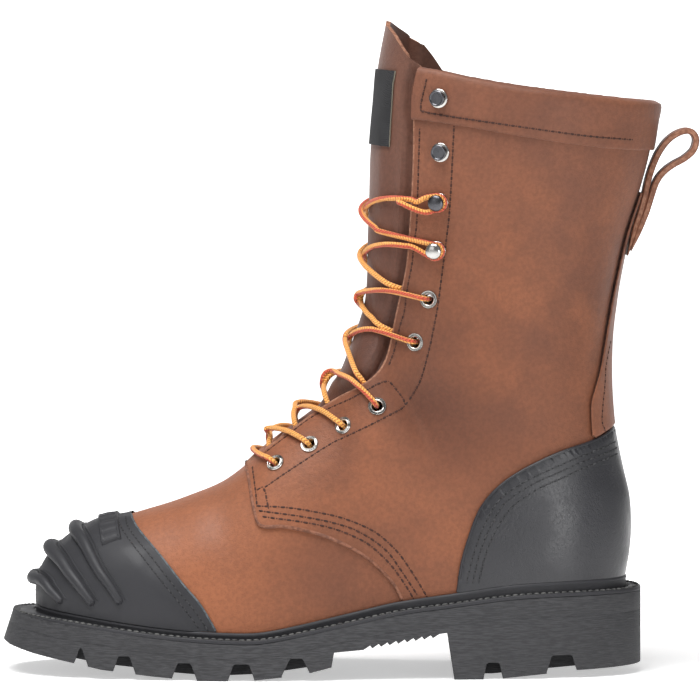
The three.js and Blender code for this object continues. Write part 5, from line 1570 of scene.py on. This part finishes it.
def prism(name, low_ring, high_ring):
    """A closed solid between two rings of as many points."""
    count = len(low_ring)
    faces = [(j, (j + 1) % count, (j + 1) % count + count, j + count) for j in range(count)]
    faces += [list(range(count))[::-1], list(range(count, 2 * count))]
    return solid(name, np.concatenate([low_ring, high_ring]), faces)


def side_prism(outline, low=-FAR, high=FAR):
    outline = np.asarray(outline, float)
    return prism("cutter", *(np.insert(outline, 1, y, axis=1) for y in (low, high)))


def combine(obj, cutters, operation):
    for cutter in cutters:
        modifier = obj.modifiers.new("cut", "BOOLEAN")
        modifier.operation = operation
        modifier.solver = "MANIFOLD"
        modifier.object = cutter
        apply_modifiers(obj)
        bpy.data.objects.remove(cutter)
    return obj


def sole_block():
    heights = (TOE_SOLE_MIDDLE - FLARE_REACH, TOE_SOLE_MIDDLE + FLARE_REACH)
    return prism("sole_block", *(np.insert(sole_edge(z), 2, z, axis=1) for z in heights))


def level_band(low, high):
    x = np.arange(-270.0, 131.0, 5.0)
    lower = np.stack([x, low(x) + 0 * x], axis=1)
    upper = np.stack([x[::-1], high(x[::-1]) + 0 * x], axis=1)
    return side_prism(np.concatenate([lower, upper]))


def junction(x):
    thick = MIDSOLE_THICKNESS + HEEL_THICKENING * smooth_steps(0.5 - sole_along(x), 0, 0.4)
    return sole_top(x) - WELT_THICKNESS - thick


def ground_outline():
    rows = []
    for table, fine in ((HEEL_GROUND, 6), (WAIST_GROUND, 1), (BALL_GROUND, 6)):
        line = np.array([(sole_x(along), level * HEEL_HEIGHT) for along, level in table])
        if table is WAIST_GROUND:
            waist = curve_of(table)
            pitch = (WAIST_TEETH["end"] - WAIST_TEETH["start"]) / WAIST_TEETH["count"]
            teeth = [line[0]]
            for i in range(WAIST_TEETH["count"]):
                start = WAIST_TEETH["start"] + i * pitch
                tip = start + pitch * 0.75
                teeth.append((sole_x(start), waist(start) * HEEL_HEIGHT))
                teeth.append((sole_x(tip), waist(tip) * HEEL_HEIGHT - WAIST_TEETH["depth"]))
            line = np.array(teeth + [line[-1]], float)
        rows.append(line)
    points = np.concatenate(rows)
    ends = [(FAR, -FAR), (FAR, points[0, 1])], [(-FAR, points[-1, 1]), (-FAR, -FAR)]
    return np.concatenate([ends[0], points, ends[1]])


def ground_level(along):
    return curve_of(HEEL_GROUND if along < HEEL_BREAST else BALL_GROUND)(along) * HEEL_HEIGHT


def lug_cuts():
    cuts = []
    for low, high, slant in LUG_GAPS:
        back, front = sole_x(low), sole_x(high)
        middle_along = (low + high) / 2
        roof = float(ground_level(middle_along)) + LUG_DEPTH
        outline = [
            (front - 1, -10), (front, roof - LUG_DEPTH), (front + slant, roof - 0.8),
            (front + slant + 0.8, roof), (back - slant - 0.8, roof), (back - slant, roof - 0.8),
            (back, roof - LUG_DEPTH), (back + 1, -10),
        ]
        middle = float(ridge((back + front) / 2))
        half = SIDE_MARGIN + BALL_WIDTH * float(foot_lateral(middle_along))
        reach = min(LUG_REACH, half * 0.6)
        cuts.append(side_prism(outline, -FAR, middle - half + reach))
        cuts.append(side_prism(outline, middle + half - reach, FAR))
    channel = [row for row in BALL_GROUND if 0.5 < row[0] < 0.9]
    offset = BALL_WIDTH / 2 + SIDE_MARGIN - LUG_REACH - CHANNEL_WIDTH / 2
    for sign in (-1, 1):
        outline = [(sole_x(a), level * HEEL_HEIGHT + LUG_DEPTH * 0.8) for a, level in channel]
        outline += [(sole_x(channel[-1][0]), -20), (sole_x(channel[0][0]), -20)]
        centre = float(ridge(sole_x(0.69))) + sign * offset
        cuts.append(side_prism(outline, centre - CHANNEL_WIDTH / 2, centre + CHANNEL_WIDTH / 2))
    for along in CENTRE_GAPS:
        roof = float(ground_level(along)) + LUG_DEPTH * 0.7
        half, x = CHANNEL_WIDTH * 0.45, float(sole_x(along))
        slot = [(x - half, -20), (x + half, -20), (x + half, roof), (x - half, roof)]
        cuts.append(side_prism(slot, float(ridge(x)) - offset, float(ridge(x)) + offset))
    return cuts


def finished_rubber(obj, name, look, node):
    obj.name = name
    obj.data.materials.clear()
    obj.data.materials.append(look)
    bevel = obj.modifiers.new("soft_edges", "BEVEL")
    bevel.width = 0.22 * MM
    bevel.segments = 2
    bevel.limit_method = "ANGLE"
    bevel.angle_limit = math.radians(32)
    apply_modifiers(obj)
    obj.data.shade_smooth()
    obj.data.set_sharp_from_angle(angle=math.radians(34))
    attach(obj, "root")
    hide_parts(node)


def make_sole():
    outsole = combine(sole_block(), [level_band(lambda x: -FAR, junction)], "INTERSECT")
    combine(outsole, [side_prism(ground_outline())] + lug_cuts(), "DIFFERENCE")
    finished_rubber(outsole, "lug_outsole", SOLE_RUBBER, "outsole")
    midsole = combine(sole_block(), [level_band(lambda x: junction(x) + 0.02, seat)], "INTERSECT")
    finished_rubber(midsole, "midsole_layer", SOLE_RUBBER, "midsole")


def make_welt():
    """The welt's flat edge, its stitched groove and the bead that hugs the upper."""
    inner = plan_outline(lambda x: bead_top(x) - 1.3, PLAN_STEPS)
    out = outward(inner)
    x = inner[:, 0]
    top, rise = sole_top(x), bead_rise(sole_along(x))
    step = leather_lift(x, bead_top(x) - 1.3)
    edge = np.sum((sole_edge(float(sole_top(-200.0))) - inner) * out, axis=1)
    angles = np.radians(np.linspace(-40, 200, 11))
    rows = [(step + 0.3, -1.7 + 0 * rise), (edge, -1.7 + 0 * rise), (edge, -0.4 + 0 * rise),
            (edge - 0.4, 0 * rise), (step + 3.9, 0 * rise), (step + 3.4, -0.7 + 0 * rise),
            (step + 2.7, -0.6 + 0 * rise)]
    rows += [(step + 1.55 + 1.25 * math.cos(a), rise - 1.25 + 1.25 * math.sin(a)) for a in angles]
    points = []
    for reach, height in rows:
        place = inner + out * reach[:, None]
        points.append(np.column_stack([place, top + height]))
    points = np.array(points)
    faces = ring_faces(*points.shape[:2], closed=True)
    points = points.reshape(-1, 3)
    obj = mesh_object("welt_and_bead", points, faces, BLACK_RUBBER, merge=None, sharp_degrees=48)
    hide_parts("welt")
    groove = np.column_stack([inner + out * (edge - 1.5)[:, None], top + 0.2])
    steps = lengths_along(groove)
    marks = np.arange(1.0, steps[-1], 3.4)
    origins = placed_at(marks, steps, groove)
    along = unit(np.gradient(origins, axis=0))
    up = square_to(np.tile([0.0, 0.0, 1.0], (len(origins), 1)), along)
    stitches = repeated(capsule(2.7, 0.8), origins, along, up)
    thread = mesh_object("welt_thread", *stitches, WAXED_THREAD, merge=None)


# Camera, light and floor
CAMERA_PLACE, CAMERA_TARGET, CAMERA_LENS = (-0.0564, -3.0, 0.313), (-0.0564, 0.0, 0.1549), 320.1
# Name, place, aim, energy and size of each lamp, in metres
LIGHTS = (
    ("overhead", (-0.3, -0.4, 1.4), (-0.05, 0, 0.1), 25, 0.9),
    ("front_left", (-1.3, -1.5, 0.75), (-0.05, 0, 0.12), 3.0, 0.9),
    ("front_right", (0.95, -1.5, 0.2), (0.05, 0, 0.08), 5.6, 0.42),
)
PAPER_FRONT, PAPER_BACK, PAPER_REACH = -4200, 7000, 4000
PAPER_BEND, PAPER_HEIGHT = 800, 3000


def aimed(obj, place, target):
    obj.location = place
    obj.rotation_euler = (Vector(target) - Vector(place)).to_track_quat("-Z", "Y").to_euler()


def make_stage():
    camera = linked("camera", bpy.data.cameras.new("camera"))
    aimed(camera, CAMERA_PLACE, CAMERA_TARGET)
    camera.data.lens = CAMERA_LENS
    camera.data.sensor_width = 36
    camera.data.clip_start = 0.05
    bpy.context.scene.camera = camera

    for name, place, aim, energy, size in LIGHTS:
        lamp = bpy.data.lights.new(name, "AREA")
        lamp.energy = energy
        lamp.size = size
        aimed(linked(name, lamp), place, aim)
    world = bpy.data.worlds.new("pale_room")
    bpy.context.scene.world = world
    world.use_nodes = True
    world.node_tree.nodes["Background"].inputs[0].default_value = (1, 1, 1, 1)
    world.node_tree.nodes["Background"].inputs[1].default_value = 0.2
    bpy.context.scene.view_settings.view_transform = "Standard"

    rows = [(PAPER_FRONT, 0), (PAPER_BACK, 0)]
    for angle in np.linspace(0.2, math.pi / 2, 8):
        rise = PAPER_BEND * (1 - math.cos(angle))
        rows.append((PAPER_BACK + PAPER_BEND * math.sin(angle), rise))
    rows.append((PAPER_BACK + PAPER_BEND, PAPER_HEIGHT))
    points = [(x, y, z) for y, z in rows for x in (-PAPER_REACH, PAPER_REACH)]
    faces = [(2 * i, 2 * i + 1, 2 * i + 3, 2 * i + 2) for i in range(len(rows) - 1)]
    floor = plain_object("paper_sweep", points, faces)

    def paper(tree, position):
        _, middle, _ = tree.effect(colour_drift, position)
        glow = tree.steps(tree.parts(position)[1], 0.1, 0.6, 0.46, 1.0)
        surface(tree, tree.mix(middle, linear((246, 246, 246)), linear((247, 247, 247))), 0.9,
                **{"Emission Color": (1, 1, 1, 1), "Emission Strength": glow})
    floor.data.materials.append(material("white_paper", paper))


def main():
    make_stage()
    make_sole()
    make_welt()
    make_upper()
    make_toe_cap()
    make_toe_ribs()
    make_pad()
    make_counter()
    make_edges()
    make_backstay()
    make_collar_band()
    make_pull_loop()
    make_tongue()
    make_label()
    make_hardware()
    make_laces()
    make_seams()
    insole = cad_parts["insole"]
    insole.data.materials.clear()
    insole.data.materials.append(INSOLE_CLOTH)


main()
